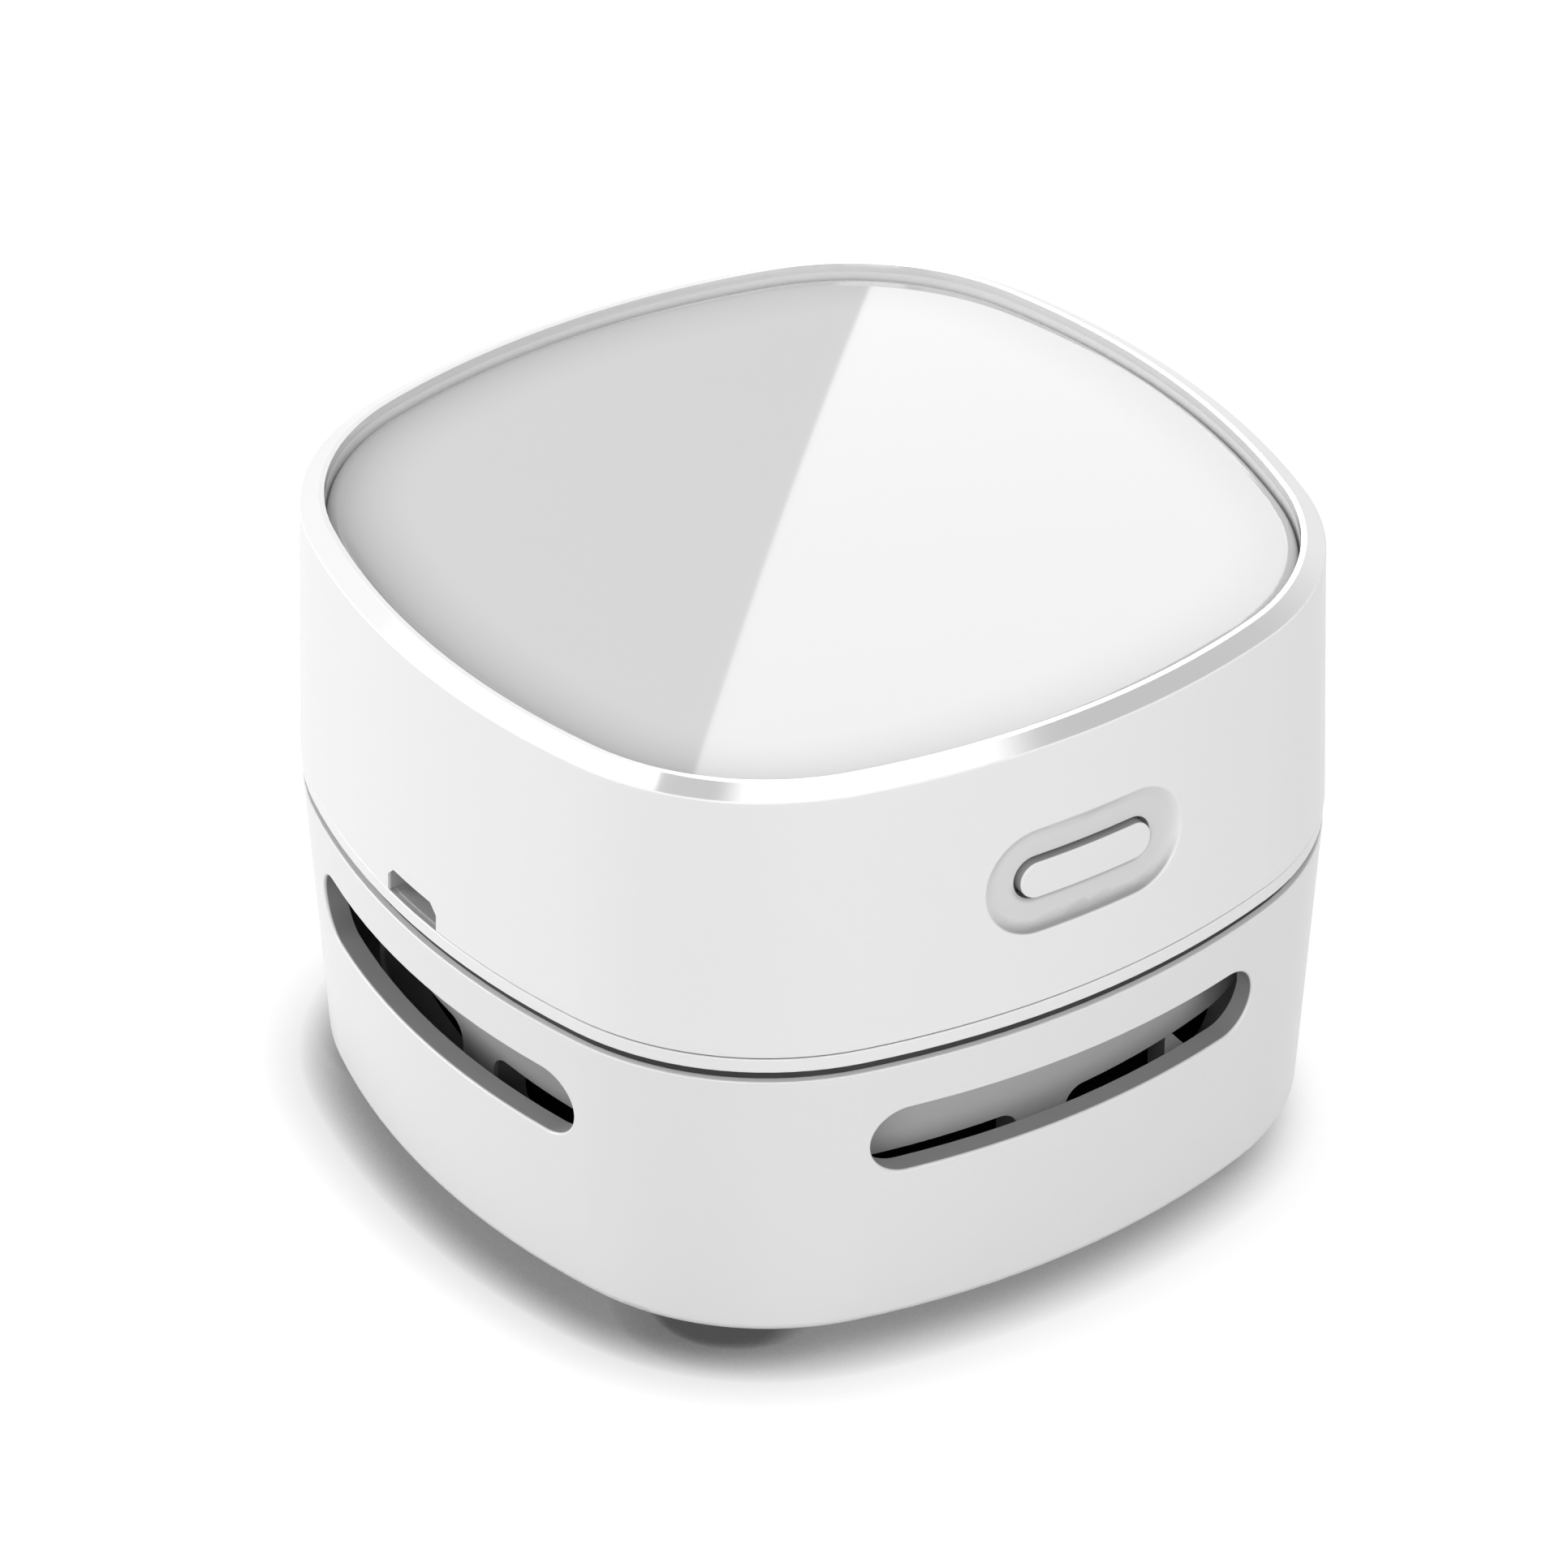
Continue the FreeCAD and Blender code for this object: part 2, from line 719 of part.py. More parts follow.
def make_intake_duct():
    body = new_body("intake_duct")
    pad(body, "floor_top", "floor_top + flange_thickness", (pill, "flange_length", "flange_width"))
    pad(body, "floor_top", "floor_top + duct_boss_height", *bosses(NOZZLE_SCREWS))
    for kind, make, skin in (("Additive", pad, "+ 2 * duct_wall"), ("Subtractive", cut, "")):
        neck = (pill, f"eye_length {skin}", f"eye_width {skin}")
        mouth = (pill, f"mouth_length {skin}", f"mouth_width {skin}")
        loft(body, kind, ("floor_top", mouth), ("duct_shoulder", neck))
        make(body, "duct_shoulder", "duct_top", neck)
    cut(body, "floor_top", "floor_top + duct_boss_height - flange_thickness", *bores(NOZZLE_SCREWS))
    return body


def make_nozzle_plate():
    body = new_body("nozzle_plate")
    outline = (rounded_rectangle, "nozzle_length", "nozzle_width", "nozzle_corner")
    pad(body, "nozzle_bottom", "recess_top", outline)
    cut(body, "nozzle_bottom", "recess_top", (pill, "mouth_length", "mouth_width"))
    grooves = [(pill, "brush_length", "brush_width", "0", y) for y in ("brush_offset", "-brush_offset")]
    cut(body, "nozzle_bottom", "recess_top", *grooves)
    cut(body, "nozzle_bottom", "recess_top", *bores(NOZZLE_SCREWS))
    cut(body, "nozzle_bottom", "nozzle_bottom + screw_head_height", *head_seats(NOZZLE_SCREWS))
    return body


def make_brush(label, side):
    """A bar that fills its groove in the nozzle plate, with a row of nylon tufts under it."""
    body = new_body(label)
    middle = f"{side}brush_offset"
    bar = (pill, "brush_length - 2 * fit_gap", "brush_width - 2 * fit_gap", "0", middle)
    pad(body, "nozzle_bottom", "recess_top", bar)
    first = f"{(1 - TUFTS) / 2}"
    tufts = [(circle, "tuft_radius", f"({first} + {number}) * tuft_pitch", middle) for number in range(TUFTS)]
    pad(body, "nozzle_bottom - brush_drop", "nozzle_bottom", *tufts)
    return body


def make_rubber_feet():
    body = new_body("rubber_feet")
    feet = [(circle, "foot_radius", x, y) for x, y in corners("foot_offset")]
    pad(body, "0", "foot_height + foot_recess", *feet)
    soften(body, "foot_edge", level_at("0"))
    return body


# ---- motor unit ----


def make_chassis():
    """The deck that carries everything in the motor unit; its edge shows as a thin band."""
    body = new_body("chassis")
    pad(body, "band_bottom", "line_bottom", (case_outline, "lower_top_inset"))
    soften(body, "edge_radius", level_at("band_bottom", "line_bottom"))
    pad(body, "line_bottom", "band_top", (case_outline, "line_depth"))
    spigot = ((case_outline, "spigot_inset"), (case_outline, "spigot_inset + spigot_wall"))
    pad(body, "band_bottom - spigot_depth", "band_bottom", *spigot)
    board_posts = [(circle, "board_post_radius", x, y) for x, y in BOARD_SCREWS + BOARD_RESTS]
    pad(body, "band_top", "board_bottom", *board_posts)
    fan_posts, shell_posts = around("ear_offset", FAN_POST_ANGLES), corners("case_screw_offset")
    pad(body, "band_top", "deck_boss_top", *bosses(fan_posts + shell_posts))
    cut(body, "band_bottom", "band_top", (circle, "well_radius + fit_gap"))
    cut(body, "band_bottom", "deck_boss_top", *bores(fan_posts + shell_posts))
    cut(body, "band_bottom", "band_bottom + screw_head_height", *head_seats(shell_posts))
    cut(body, "band_top", "board_bottom", *bores(BOARD_SCREWS))
    return body


def make_motor_well():
    """A cup for the motor that hangs through the deck by its flange."""
    body = new_body("motor_well")
    pad(body, "well_bottom", "collar_top", (circle, "well_radius"))
    pad(body, "band_top", "band_top + flange_height", (circle, "well_radius + flange_reach"))
    cut(body, "motor_bottom", "collar_top", (circle, "well_bore"))
    cut(body, "well_bottom", "motor_bottom", (circle, "motor_nose_radius + fit_gap"))
    cut(body, "well_bottom", "motor_bottom", *bores(MOTOR_SCREWS))
    return body


def make_fan_spacers():
    body = new_body("fan_spacers")
    places = around("ear_offset", FAN_POST_ANGLES)
    pad(body, "cover_top", "band_bottom", *bosses(places), *bores(places))
    return body


def make_case_seal():
    """A rubber ring that lies in the gap between the two halves of the case."""
    body = new_body("case_seal")
    ring = ((case_outline, "seal_inset"), (case_outline, "seal_inset + seal_width"))
    pad(body, "lower_top", "band_bottom", *ring)
    return body


def make_switch_bracket():
    """Holds the switch board by both edges: tall ribs behind it, short ones before and beside it."""
    body = new_body("switch_bracket")
    half = "switch_board_width / 2"
    outer = f"({half} + guide_side)"
    bar = (rectangle, f"-{outer}", "-switch_board_back", outer, "-switch_board_back + guide_width")
    pad(body, "band_top", "band_top + guide_width", bar)
    for side in ("", "-"):
        inner, middle, edge = f"{side}({half} - guide_width)", f"{side}({half})", f"{side}{outer}"
        behind = (rectangle, inner, "-switch_board_back", edge, "-switch_board_back + guide_width")
        before = (rectangle, inner, "-switch_back - guide_width", edge, "-switch_back")
        beside = (rectangle, middle, "-switch_back", edge, "-switch_board_back")
        pad(body, "band_top", "button_height", behind)
        pad(body, "band_top", "band_top + guide_height", before)
        pad(body, "band_top", "band_top + guide_height", beside)
    return body


def make_battery_cradle():
    """Two saddles on one base that the cell snaps into from above."""
    body = new_body("battery_cradle")
    end = "(saddle_offset + saddle_width)"
    near, far = "battery_offset - cradle_reach", "battery_offset + cradle_reach"
    pad(body, "band_top", "band_top + cradle_thickness", (rectangle, f"-{end}", near, end, far))
    reach = "battery_radius + fit_gap + saddle_arm"
    for side in ("", "-"):
        block = (
            rectangle,
            f"{side}saddle_offset",
            f"battery_offset - ({reach})",
            f"{side}{end}",
            f"battery_offset + {reach}",
        )
        pad(body, "band_top", "battery_axis + saddle_grip", block)
    bore = (circle, "battery_radius + fit_gap", "battery_offset", "battery_axis")
    cut(body, f"-{end}", end, bore, plane="YZ_Plane")
    return body


def make_cage_gasket():
    body = new_body("cage_gasket")
    ring = ((case_outline, "cage_inset"), (case_outline, "cage_inset + gasket_width"))
    pad(body, "cage_top", "band_bottom", *ring)
    return body


def make_motor():
    can = new_body("motor_can")
    pad(can, "motor_bottom", "motor_top", (circle, "motor_radius"))
    pad(can, "well_bottom", "motor_bottom", (circle, "motor_nose_radius"))
    cut(can, "well_bottom", "motor_bottom", (circle, "bush_radius"))
    cut(can, "motor_bottom", "motor_top", (circle, "shaft_radius + fit_gap"))
    cut(can, "motor_bottom", "motor_bottom + screw_length", *bores(MOTOR_SCREWS))
    bush = new_body("motor_bush")
    pad(bush, "well_bottom", "motor_bottom", (circle, "bush_radius"), (circle, "shaft_radius + run_gap"))
    cap = new_body("motor_end_cap")
    pad(cap, "motor_top", "motor_top + motor_cap_height", (circle, "motor_cap_radius"))
    cut(cap, "motor_top", "motor_top + motor_cap_height / 2", (circle, "shaft_radius + fit_gap"))
    damper = new_body("motor_damper")
    ring = ((circle, "well_radius"), (circle, "well_bore"))
    pad(damper, "collar_top", "collar_top + damper_height", *ring)
    return [can, bush, cap, damper]


def make_motor_shaft():
    body = new_body("motor_shaft")
    pad(body, "blade_bottom", "motor_top + motor_cap_height / 2 - fit_gap", (circle, "shaft_radius"))
    return body


def make_impeller():
    body = new_body("impeller")
    pad(body, "disc_bottom", "disc_top", (circle, "impeller_radius"))
    pad(body, "blade_bottom", "disc_bottom", (circle, "impeller_hub_radius"))
    blade = pad(body, "blade_bottom", "disc_bottom", (blade_outline,))
    repeat(body, [blade], BLADES)
    pad(body, "disc_top", "disc_top + hub_cap_height", (circle, "impeller_hub_radius"))
    cut(body, "blade_bottom", "disc_top + hub_cap_height", (circle, "shaft_radius + press_gap"))
    return body


def make_fan_cover():
    """Keeps fingers off the fan: a plate with the eye, stator vanes and a ring under the well."""
    body = new_body("fan_cover")
    ears = around("ear_offset", FAN_POST_ANGLES)
    eye = (pill, "eye_length + 2 * (duct_wall + lift_gap)", "eye_width + 2 * (duct_wall + lift_gap)")
    pad(body, "cover_bottom", "cover_floor", (circle, "cover_radius"), eye)
    ring = ((circle, "cover_radius"), (circle, "cover_radius - cover_ring_width"))
    pad(body, "ring_bottom", "cover_top", *ring)
    pad(body, "ring_bottom", "cover_top", *bosses(ears))
    half = "vane_thickness / 2"
    vane = pad(
        body,
        "cover_floor",
        "ring_bottom",
        (rectangle, "cover_radius - fit_gap - vane_length", f"-{half}", "cover_radius - fit_gap", half),
    )
    repeat(body, [vane], VANES)
    cut(body, "ring_bottom", "cover_top", *bores(ears))
    return body


def make_battery():
    cell = new_body("battery")
    reach = "battery_length / 2"
    section = (circle, "battery_radius", "battery_offset", "battery_axis")
    pad(cell, f"-{reach}", reach, section, plane="YZ_Plane")
    tabs = new_body("battery_tabs")
    half = "battery_radius / 2"
    left, right = f"battery_offset - {half}", f"battery_offset + {half}"
    tab = (rectangle, left, f"battery_axis - {half}", right, "battery_axis")
    pad(tabs, reach, f"{reach} + battery_tab", tab, plane="YZ_Plane")
    pad(tabs, f"-{reach} - battery_tab", f"-{reach}", tab, plane="YZ_Plane")
    return [cell, tabs]


def make_main_board():
    board = new_body("main_board")
    outline = (rectangle, "-board_far", "-board_half_width", "-board_near", "board_half_width")
    pad(board, "board_bottom", "board_top", outline)
    cut(board, "board_bottom", "board_top", *bores(BOARD_SCREWS))
    parts = new_body("board_parts")
    chip = (rounded_rectangle, "chip_side", "chip_side", "usb_sheet", "-part_place", "-part_spread")
    pad(parts, "board_top", "board_top + chip_height", chip)
    coil = (circle, "coil_radius", "-part_place", "part_spread")
    pad(parts, "board_top", "board_top + coil_height", coil)
    capacitor = (circle, "capacitor_radius", "-board_screw_place", "0")
    pad(parts, "board_top", "board_top + capacitor_height", capacitor)
    fixing = new_body("board_screws")
    heads = [(circle, "screw_head_radius", x, y) for x, y in BOARD_SCREWS]
    pad(fixing, "board_top", "board_top + screw_head_height", *heads)
    pad(fixing, "band_top", "board_top", *[(circle, "screw_radius", x, y) for x, y in BOARD_SCREWS])
    head_top = "board_top + screw_head_height"
    cut_drive(fixing, f"{head_top} - drive_depth", head_top, BOARD_SCREWS)
    return [board, parts, fixing]


def socket_outline(sketch, gap):
    """The charging socket's section: wide at the bottom, with two cut corners at the top."""
    half, top = f"(usb_width / 2 + {gap})", f"(band_top + usb_height + {gap})"
    polygon(
        sketch,
        (f"-{half}", "band_top"),
        (half, "band_top"),
        (half, f"{top} - usb_corner"),
        (f"{half} - usb_corner", top),
        (f"usb_corner - {half}", top),
        (f"-{half}", f"{top} - usb_corner"),
    )


def make_usb_socket():
    body = new_body("usb_socket")
    mouth = "half_width - wall - usb_setback"
    pad(body, f"-({mouth})", f"usb_depth - ({mouth})", (socket_outline, "0"), plane="YZ_Plane")
    half, skin = "usb_width / 2 - usb_corner", "usb_sheet"
    hollow = (rectangle, f"-({half})", f"band_top + {skin}", half, f"band_top + usb_height - {skin}")
    cut(body, f"-({mouth})", f"usb_depth - ({mouth}) - {skin}", hollow, plane="YZ_Plane")
    low, high = "band_top + usb_height / 2", "band_top + usb_height / 2 + usb_sheet"
    tongue = (rectangle, f"{skin} - ({half})", low, f"{half} - {skin}", high)
    pad(body, f"usb_setback - ({mouth})", f"usb_depth - ({mouth})", tongue, plane="YZ_Plane")
    return body


def make_switch():
    board = new_body("switch_board")
    half = "switch_board_width / 2"
    top = "button_height + switch_side / 2 + switch_margin"
    outline = (rectangle, f"-{half}", "band_top", half, top)
    pad(board, "switch_board_back", "switch_back", outline, plane="XZ_Plane")
    switch = new_body("tact_switch")
    side = "switch_side / 2"
    square = (rectangle, f"-{side}", f"button_height - {side}", side, f"button_height + {side}")
    pad(switch, "switch_back", "switch_front", square, plane="XZ_Plane")
    bore = (circle, "plunger_radius + lift_gap", "0", "button_height")
    cut(switch, "switch_front - plunger_length", "switch_front", bore, plane="XZ_Plane")
    plunger = new_body("switch_plunger")
    rod = (circle, "plunger_radius", "0", "button_height")
    pad(plunger, "stem_end - plunger_length", "stem_end", rod, plane="XZ_Plane")
    return [board, switch, plunger]


def make_power_button():
    body = new_body("button_blank")
    lip = "+ 2 * button_lip"
    cap = (pill, "button_length", "button_width", "0", "button_height")
    rim = (pill, f"button_length {lip}", f"button_width {lip}", "0", "button_height")
    pad(body, "lip_front", "front_face + wall", cap, plane="XZ_Plane")
    pad(body, "lip_back", "lip_front", rim, plane="XZ_Plane")
    pad(body, "stem_end", "lip_back", (circle, "stem_radius", "0", "button_height"), plane="XZ_Plane")
    curved = boolean("Common", "button_curved", body, face_cone("button_face", "button_inset"))
    return round_rims("power_button", curved, "button_edge_radius", has_surface(Part.Cone))


def make_upper_shell():
    body = new_body("shell_blank")
    case_walls(pad, body, "band_top", "bevel_foot", "0", "upper_draft")
    case_walls(pad, body, "bevel_foot", "rim_top", "upper_draft", "upper_draft + bevel_width")
    soften(body, "edge_radius", level_at("band_top", "bevel_foot", "rim_top"))
    case_walls(cut, body, "band_top", "ledge_bottom", "wall", "wall + upper_draft")
    cut(body, "ledge_bottom", "rim_top", (case_outline, "opening_inset + ledge_width"))
    cut(body, "ledge_top", "rim_top", (case_outline, "opening_inset"))
    posts = [(circle, "post_radius", x, y) for x, y in corners("case_screw_offset")]
    gussets = [(circle, "gusset_radius", x, y) for x, y in corners("(case_screw_offset + gusset_reach)")]
    for shapes in (posts, gussets):
        pad(body, "deck_boss_top", "ledge_top", *shapes)
    cut(body, "deck_boss_top", "band_top + 2 * screw_length", *bores(corners("case_screw_offset")))
    hole = (pill, "button_length + 2 * button_gap", "button_width + 2 * button_gap", "0", "button_height")
    cut(body, "lip_back", "half_width", hole, plane="XZ_Plane")
    cut(body, "-half_width", "2 * wall - half_width", (socket_outline, "notch_gap"), plane="YZ_Plane")
    dished = boolean("Cut", "shell_dished", body, dish_cutter())

    def is_dish(face):
        box = face.BoundBox
        inside = abs(box.XMin + box.XMax) < size("dish_length") and box.XLength < size("dish_length")
        outer = size("-half_width + wall")
        high = box.ZMin > size("button_height - dish_width") and box.ZMax < size("button_height + dish_width")
        return inside and high and box.YMax < outer and box.YMin < size("-front_face")

    return round_rims("upper_shell", dished, "dish_edge_radius", is_dish)


def dish_cutter():
    """A pill-shaped prism whose end follows the wall's curve and has a rounded edge all round."""
    prism = new_body("dish_prism")
    spread = "+ 2 * dish_spread"
    dish = (pill, f"dish_length {spread}", f"dish_width {spread}", "0", "button_height")
    pad(prism, "front_face - wall", "half_width + dish_cove_radius", dish, plane="XZ_Plane")
    carved = boolean("Cut", "dish_blank", prism, face_cone("dish_floor", "dish_depth"))
    return round_rims("dish_cutter", carved, "dish_cove_radius", has_surface(Part.Cone))


def make_top_panel():
    body = new_body("panel_blank")
    pad(body, "ledge_top", "ledge_top + panel_thickness + panel_crown", (case_outline, "panel_inset"))
    dome = doc.addObject("Part::Sphere", "panel_dome")
    tie(dome, "Radius", "panel_dome_radius")
    tie(dome, "Placement.Base.z", "ledge_top + panel_thickness + panel_crown - panel_dome_radius")
    domed = boolean("Common", "panel_domed", body, dome)
    return round_rims("top_panel", domed, "panel_edge_radius", has_surface(Part.Sphere))


def build_all():
    motor_head = "well_bottom - screw_head_height"
    cover_head = "ring_bottom - screw_head_height"
    ears = around("ear_offset", FAN_POST_ANGLES)
    pieces = [
        make_lower_shell(),
        make_dust_cage(),
        make_filter_mesh(),
        make_intake_duct(),
        make_nozzle_plate(),
        make_brush("brush_front", "-"),
        make_brush("brush_rear", ""),
        screws("nozzle_screws", NOZZLE_SCREWS, "nozzle_bottom", "nozzle_bottom + screw_length"),
        screws("cage_screws", CAGE_SCREWS, "foot_height", "foot_height + screw_length"),
        make_rubber_feet(),
        make_upper_shell(),
        make_top_panel(),
        make_chassis(),
        make_motor_well(),
        make_fan_spacers(),
        make_switch_bracket(),
        make_battery_cradle(),
        make_case_seal(),
        make_cage_gasket(),
        screws("case_screws", corners("case_screw_offset"), "band_bottom", "band_bottom + 2 * screw_length"),
        *make_motor(),
        screws("motor_screws", MOTOR_SCREWS, motor_head, f"{motor_head} + screw_length"),
        make_motor_shaft(),
        make_impeller(),
        make_fan_cover(),
        screws("fan_cover_screws", ears, cover_head, "deck_boss_top"),
        *make_battery(),
        *make_main_board(),
        make_usb_socket(),
        *make_switch(),
        make_power_button(),
    ]
    doc.recompute()
    return pieces


def check(pieces):
    for item in doc.Objects:
        if {"Invalid", "Error"} & set(item.State):
            raise ValueError(f"{item.Label}: {item.State}")
    for piece in pieces:
        if piece.Shape.isNull() or not piece.Shape.isValid():
            raise ValueError(f"{piece.Label}: no valid shape")


def export(pieces):
    os.makedirs("parts", exist_ok=True)
    for piece in pieces:
        piece.Shape.exportStep(f"parts/{piece.Label}.step")
        print(f"{piece.Label}: {len(piece.Shape.Solids)} solids, {piece.Shape.Volume:.1f} mm3")


fill_sheet()
parts = build_all()
check(parts)
export(parts)
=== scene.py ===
import bpy
import math
import numpy as np
from mathutils import Matrix, Vector


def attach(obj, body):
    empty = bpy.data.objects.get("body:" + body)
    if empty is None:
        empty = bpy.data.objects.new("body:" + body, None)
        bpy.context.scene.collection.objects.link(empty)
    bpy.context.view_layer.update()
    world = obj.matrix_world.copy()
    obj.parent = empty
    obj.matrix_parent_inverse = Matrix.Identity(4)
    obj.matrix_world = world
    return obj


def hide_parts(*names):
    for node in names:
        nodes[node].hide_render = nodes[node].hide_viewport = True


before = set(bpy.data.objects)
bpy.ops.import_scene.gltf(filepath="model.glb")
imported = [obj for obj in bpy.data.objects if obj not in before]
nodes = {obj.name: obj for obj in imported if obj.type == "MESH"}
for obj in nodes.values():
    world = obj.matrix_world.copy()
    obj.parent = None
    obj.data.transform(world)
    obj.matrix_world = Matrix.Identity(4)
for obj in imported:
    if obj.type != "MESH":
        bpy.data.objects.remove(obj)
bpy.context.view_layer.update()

scene = bpy.context.scene
mm = 0.001


class Sock:
    # one output socket of a shader tree; arithmetic on it adds Math nodes
    def __init__(self, tree, socket):
        self.tree = tree
        self.socket = socket

    def node(self, kind, settings=None, inputs=None, output=0):
        made = self.tree.nodes.new("ShaderNode" + kind)
        for name, value in (settings or {}).items():
            setattr(made, name, value)
        for name, value in (inputs or {}).items():
            if isinstance(value, Sock):
                self.tree.links.new(value.socket, made.inputs[name])
            else:
                made.inputs[name].default_value = value
        return Sock(self.tree, made.outputs[output])

    def math(self, operation, *others):
        return self.node("Math", {"operation": operation}, dict(enumerate((self, *others))))

    def __add__(self, other):
        return self.math("ADD", other)

    def __radd__(self, other):
        return self + other

    def __sub__(self, other):
        return self.math("SUBTRACT", other)

    def __rsub__(self, other):
        return self.node("Math", {"operation": "SUBTRACT"}, {0: other, 1: self})

    def __mul__(self, other):
        return self.math("MULTIPLY", other)

    def __rmul__(self, other):
        return self * other

    def __abs__(self):
        return self.math("ABSOLUTE")


def smooth(value, low, high):
    # 0 below low, 1 above high, an S curve between
    return value.node("MapRange", {"interpolation_type": "SMOOTHSTEP"}, {0: value, 1: low, 2: high})


def ramp(value, start, first, end, last):
    # a straight line from first at start to last at end, level outside them
    return value.node("MapRange", {}, {0: value, 1: start, 2: end, 3: first, 4: last})


def between(value, low, high, fade):
    # 1 from low to high; it rises just above low and falls just above high
    return smooth(value, low, low + fade) * (1.0 - smooth(value, high, high + fade))


def uneven(mask, value, least, spread):
    # a value that a mask from 0 to 1 changes a little
    return value * (least + spread * mask)


def axisOf(vector, name):
    return vector.node("SeparateXYZ", {}, {"Vector": vector}, name)


def grey(level):
    return (level, level, level)


def rgba(colour):
    return (*colour, 1.0) if isinstance(colour, tuple) and len(colour) == 3 else colour


def dimmed(colour, share):
    return tuple(c * share for c in colour)


class Finish:
    # a material: its tree, its Principled shader and the object coordinates in millimetres
    def __init__(self, name, colour, **sockets):
        self.material = bpy.data.materials.new(name)
        self.material.use_nodes = True
        self.tree = self.material.node_tree
        self.shader = self.tree.nodes["Principled BSDF"]
        coordinates = self.tree.nodes.new("ShaderNodeTexCoord")
        start = Sock(self.tree, coordinates.outputs["Object"])
        self.place = start.node("VectorMath", {"operation": "SCALE"}, {"Vector": start, "Scale": 1.0 / mm})
        self.set("Base Color", rgba(colour))
        for socket, value in sockets.items():
            self.set(socket.replace("_", " "), value)

    def set(self, socket, value):
        if isinstance(value, Sock):
            self.tree.links.new(value.socket, self.shader.inputs[socket])
        else:
            self.shader.inputs[socket].default_value = value

    def noise(self, size, detail=2.0, stretch=(1.0, 1.0, 1.0)):
        # a noise of about this size in millimetres, drawn out along the axes with a small stretch
        scaled = self.place.node("VectorMath", {"operation": "MULTIPLY"}, {0: self.place, 1: stretch})
        return self.place.node("TexNoise", {}, {"Vector": scaled, "Scale": 1.0 / size, "Detail": detail})

    def axis(self, name):
        return axisOf(self.place, name)

    def normal(self):
        return self.place.node("NewGeometry", {}, {}, "Normal")

    def mix(self, mask, first, second):
        inputs = {0: mask, 6: rgba(first), 7: rgba(second)}
        return self.place.node("Mix", {"data_type": "RGBA"}, inputs, 2)

    def mixValue(self, mask, first, second):
        return self.place.node("Mix", {}, {0: mask, 2: first, 3: second})

    def bump(self, height, strength, depth):
        # height is 0 to 1; depth is its real height in millimetres
        inputs = {"Strength": strength, "Distance": depth * mm, "Height": height}
        self.set("Normal", height.node("Bump", {}, inputs))


def give(finish, *names):
    for name in names:
        mesh = nodes[name].data
        mesh.materials.clear()
        mesh.materials.append(finish.material)


mouldLook = {"flow": 34.0, "flowShade": 0.985, "gloss": (0.9, 0.2), "bump": 0.25}


def flowMarks(finish, colour):
    # marks a few centimetres long, where the plastic ran into the mould
    flow = finish.noise(mouldLook["flow"], detail=1.0)
    return finish.mix(flow, dimmed(colour, mouldLook["flowShade"]), colour)


def moulded(name, colour, roughness, grain, depth, **sockets):
    # moulded plastic: a fine grain, flow marks and small changes of gloss
    finish = Finish(name, colour, Roughness=roughness, **sockets)
    fine = finish.noise(grain, detail=3.0)
    finish.set("Base Color", flowMarks(finish, colour))
    finish.set("Roughness", uneven(fine, roughness, *mouldLook["gloss"]))
    finish.bump(fine, mouldLook["bump"], depth)
    return finish


outlineLook = {"half": 41.5, "side": 78.0, "corner": 25.2, "cornerPlace": 14.32, "cornerTurn": 15.74}


def outlineInset(finish):
    # how far inside the case's outline a point lies: four side arcs joined by four corner arcs
    look = outlineLook
    x, y = abs(finish.axis("X")), abs(finish.axis("Y"))
    far, near = x.math("MAXIMUM", y), x.math("MINIMUM", y)
    reach = far + (look["side"] - look["half"])
    sideInset = look["side"] - (near * near + reach * reach).math("SQRT")
    a, b = far - look["cornerPlace"], near - look["cornerPlace"]
    cornerInset = look["corner"] - (a * a + b * b).math("SQRT")
    inCorner = (near - reach * math.tan(math.radians(look["cornerTurn"]))).math("GREATER_THAN", 0.0)
    return sideInset + (cornerInset - sideInset) * inCorner


# low and high give a height and how far the outer wall is inside the outline there; the lower shell's white
# is the others' white painted darker, as shade on the lower half
skins = {
    "lower_shell": {"white": 0.81, "low": (3.0, 1.6), "high": (30.64, 0.1), "cutFrom": 4.8, "cutTo": 29.5,
                    "cut": (0.29, 0.29, 0.295)},
    "chassis": {"white": 0.86, "low": (30.0, 0.1), "high": (34.0, 0.1), "cutFrom": 20.0, "cutTo": 60.0,
                "skin": (0.10, 0.18)},
    "upper_shell": {"white": 0.86, "low": (33.18, 0.0), "high": (58.23, 0.82), "cutFrom": 20.0,
                    "cutTo": 38.0},
}
skinLook = {"roughness": 0.36, "grain": 0.35, "depth": 0.004, "gloss": 0.35, "glossRoughness": 0.06,
            "skin": (0.16, 0.34), "cut": (0.42, 0.42, 0.425), "cutFade": 0.3}
# the dish's floor, under and cove greys are painted shade in the finger dish
dishLook = {"low": 38.5, "high": 52.0, "fade": 0.5, "middle": 45.3, "reach": 5.0, "hole": 2.05,
            "floor": 0.70, "floorDepth": (0.03, 0.75),
            "under": 0.42, "underDrop": (-1.6, 0.4), "underWidth": 0.55, "underDepth": (0.3, 0.6),
            "coveShade": 0.34, "coveTilt": (0.12, 0.75), "coveDepth": (0.02, 0.2)}
rimLook = {"low": 58.27, "high": 59.25, "fade": 0.04, "width": 3.05, "widthFade": 0.1, "polish": 0.36,
           "roughness": 0.08}


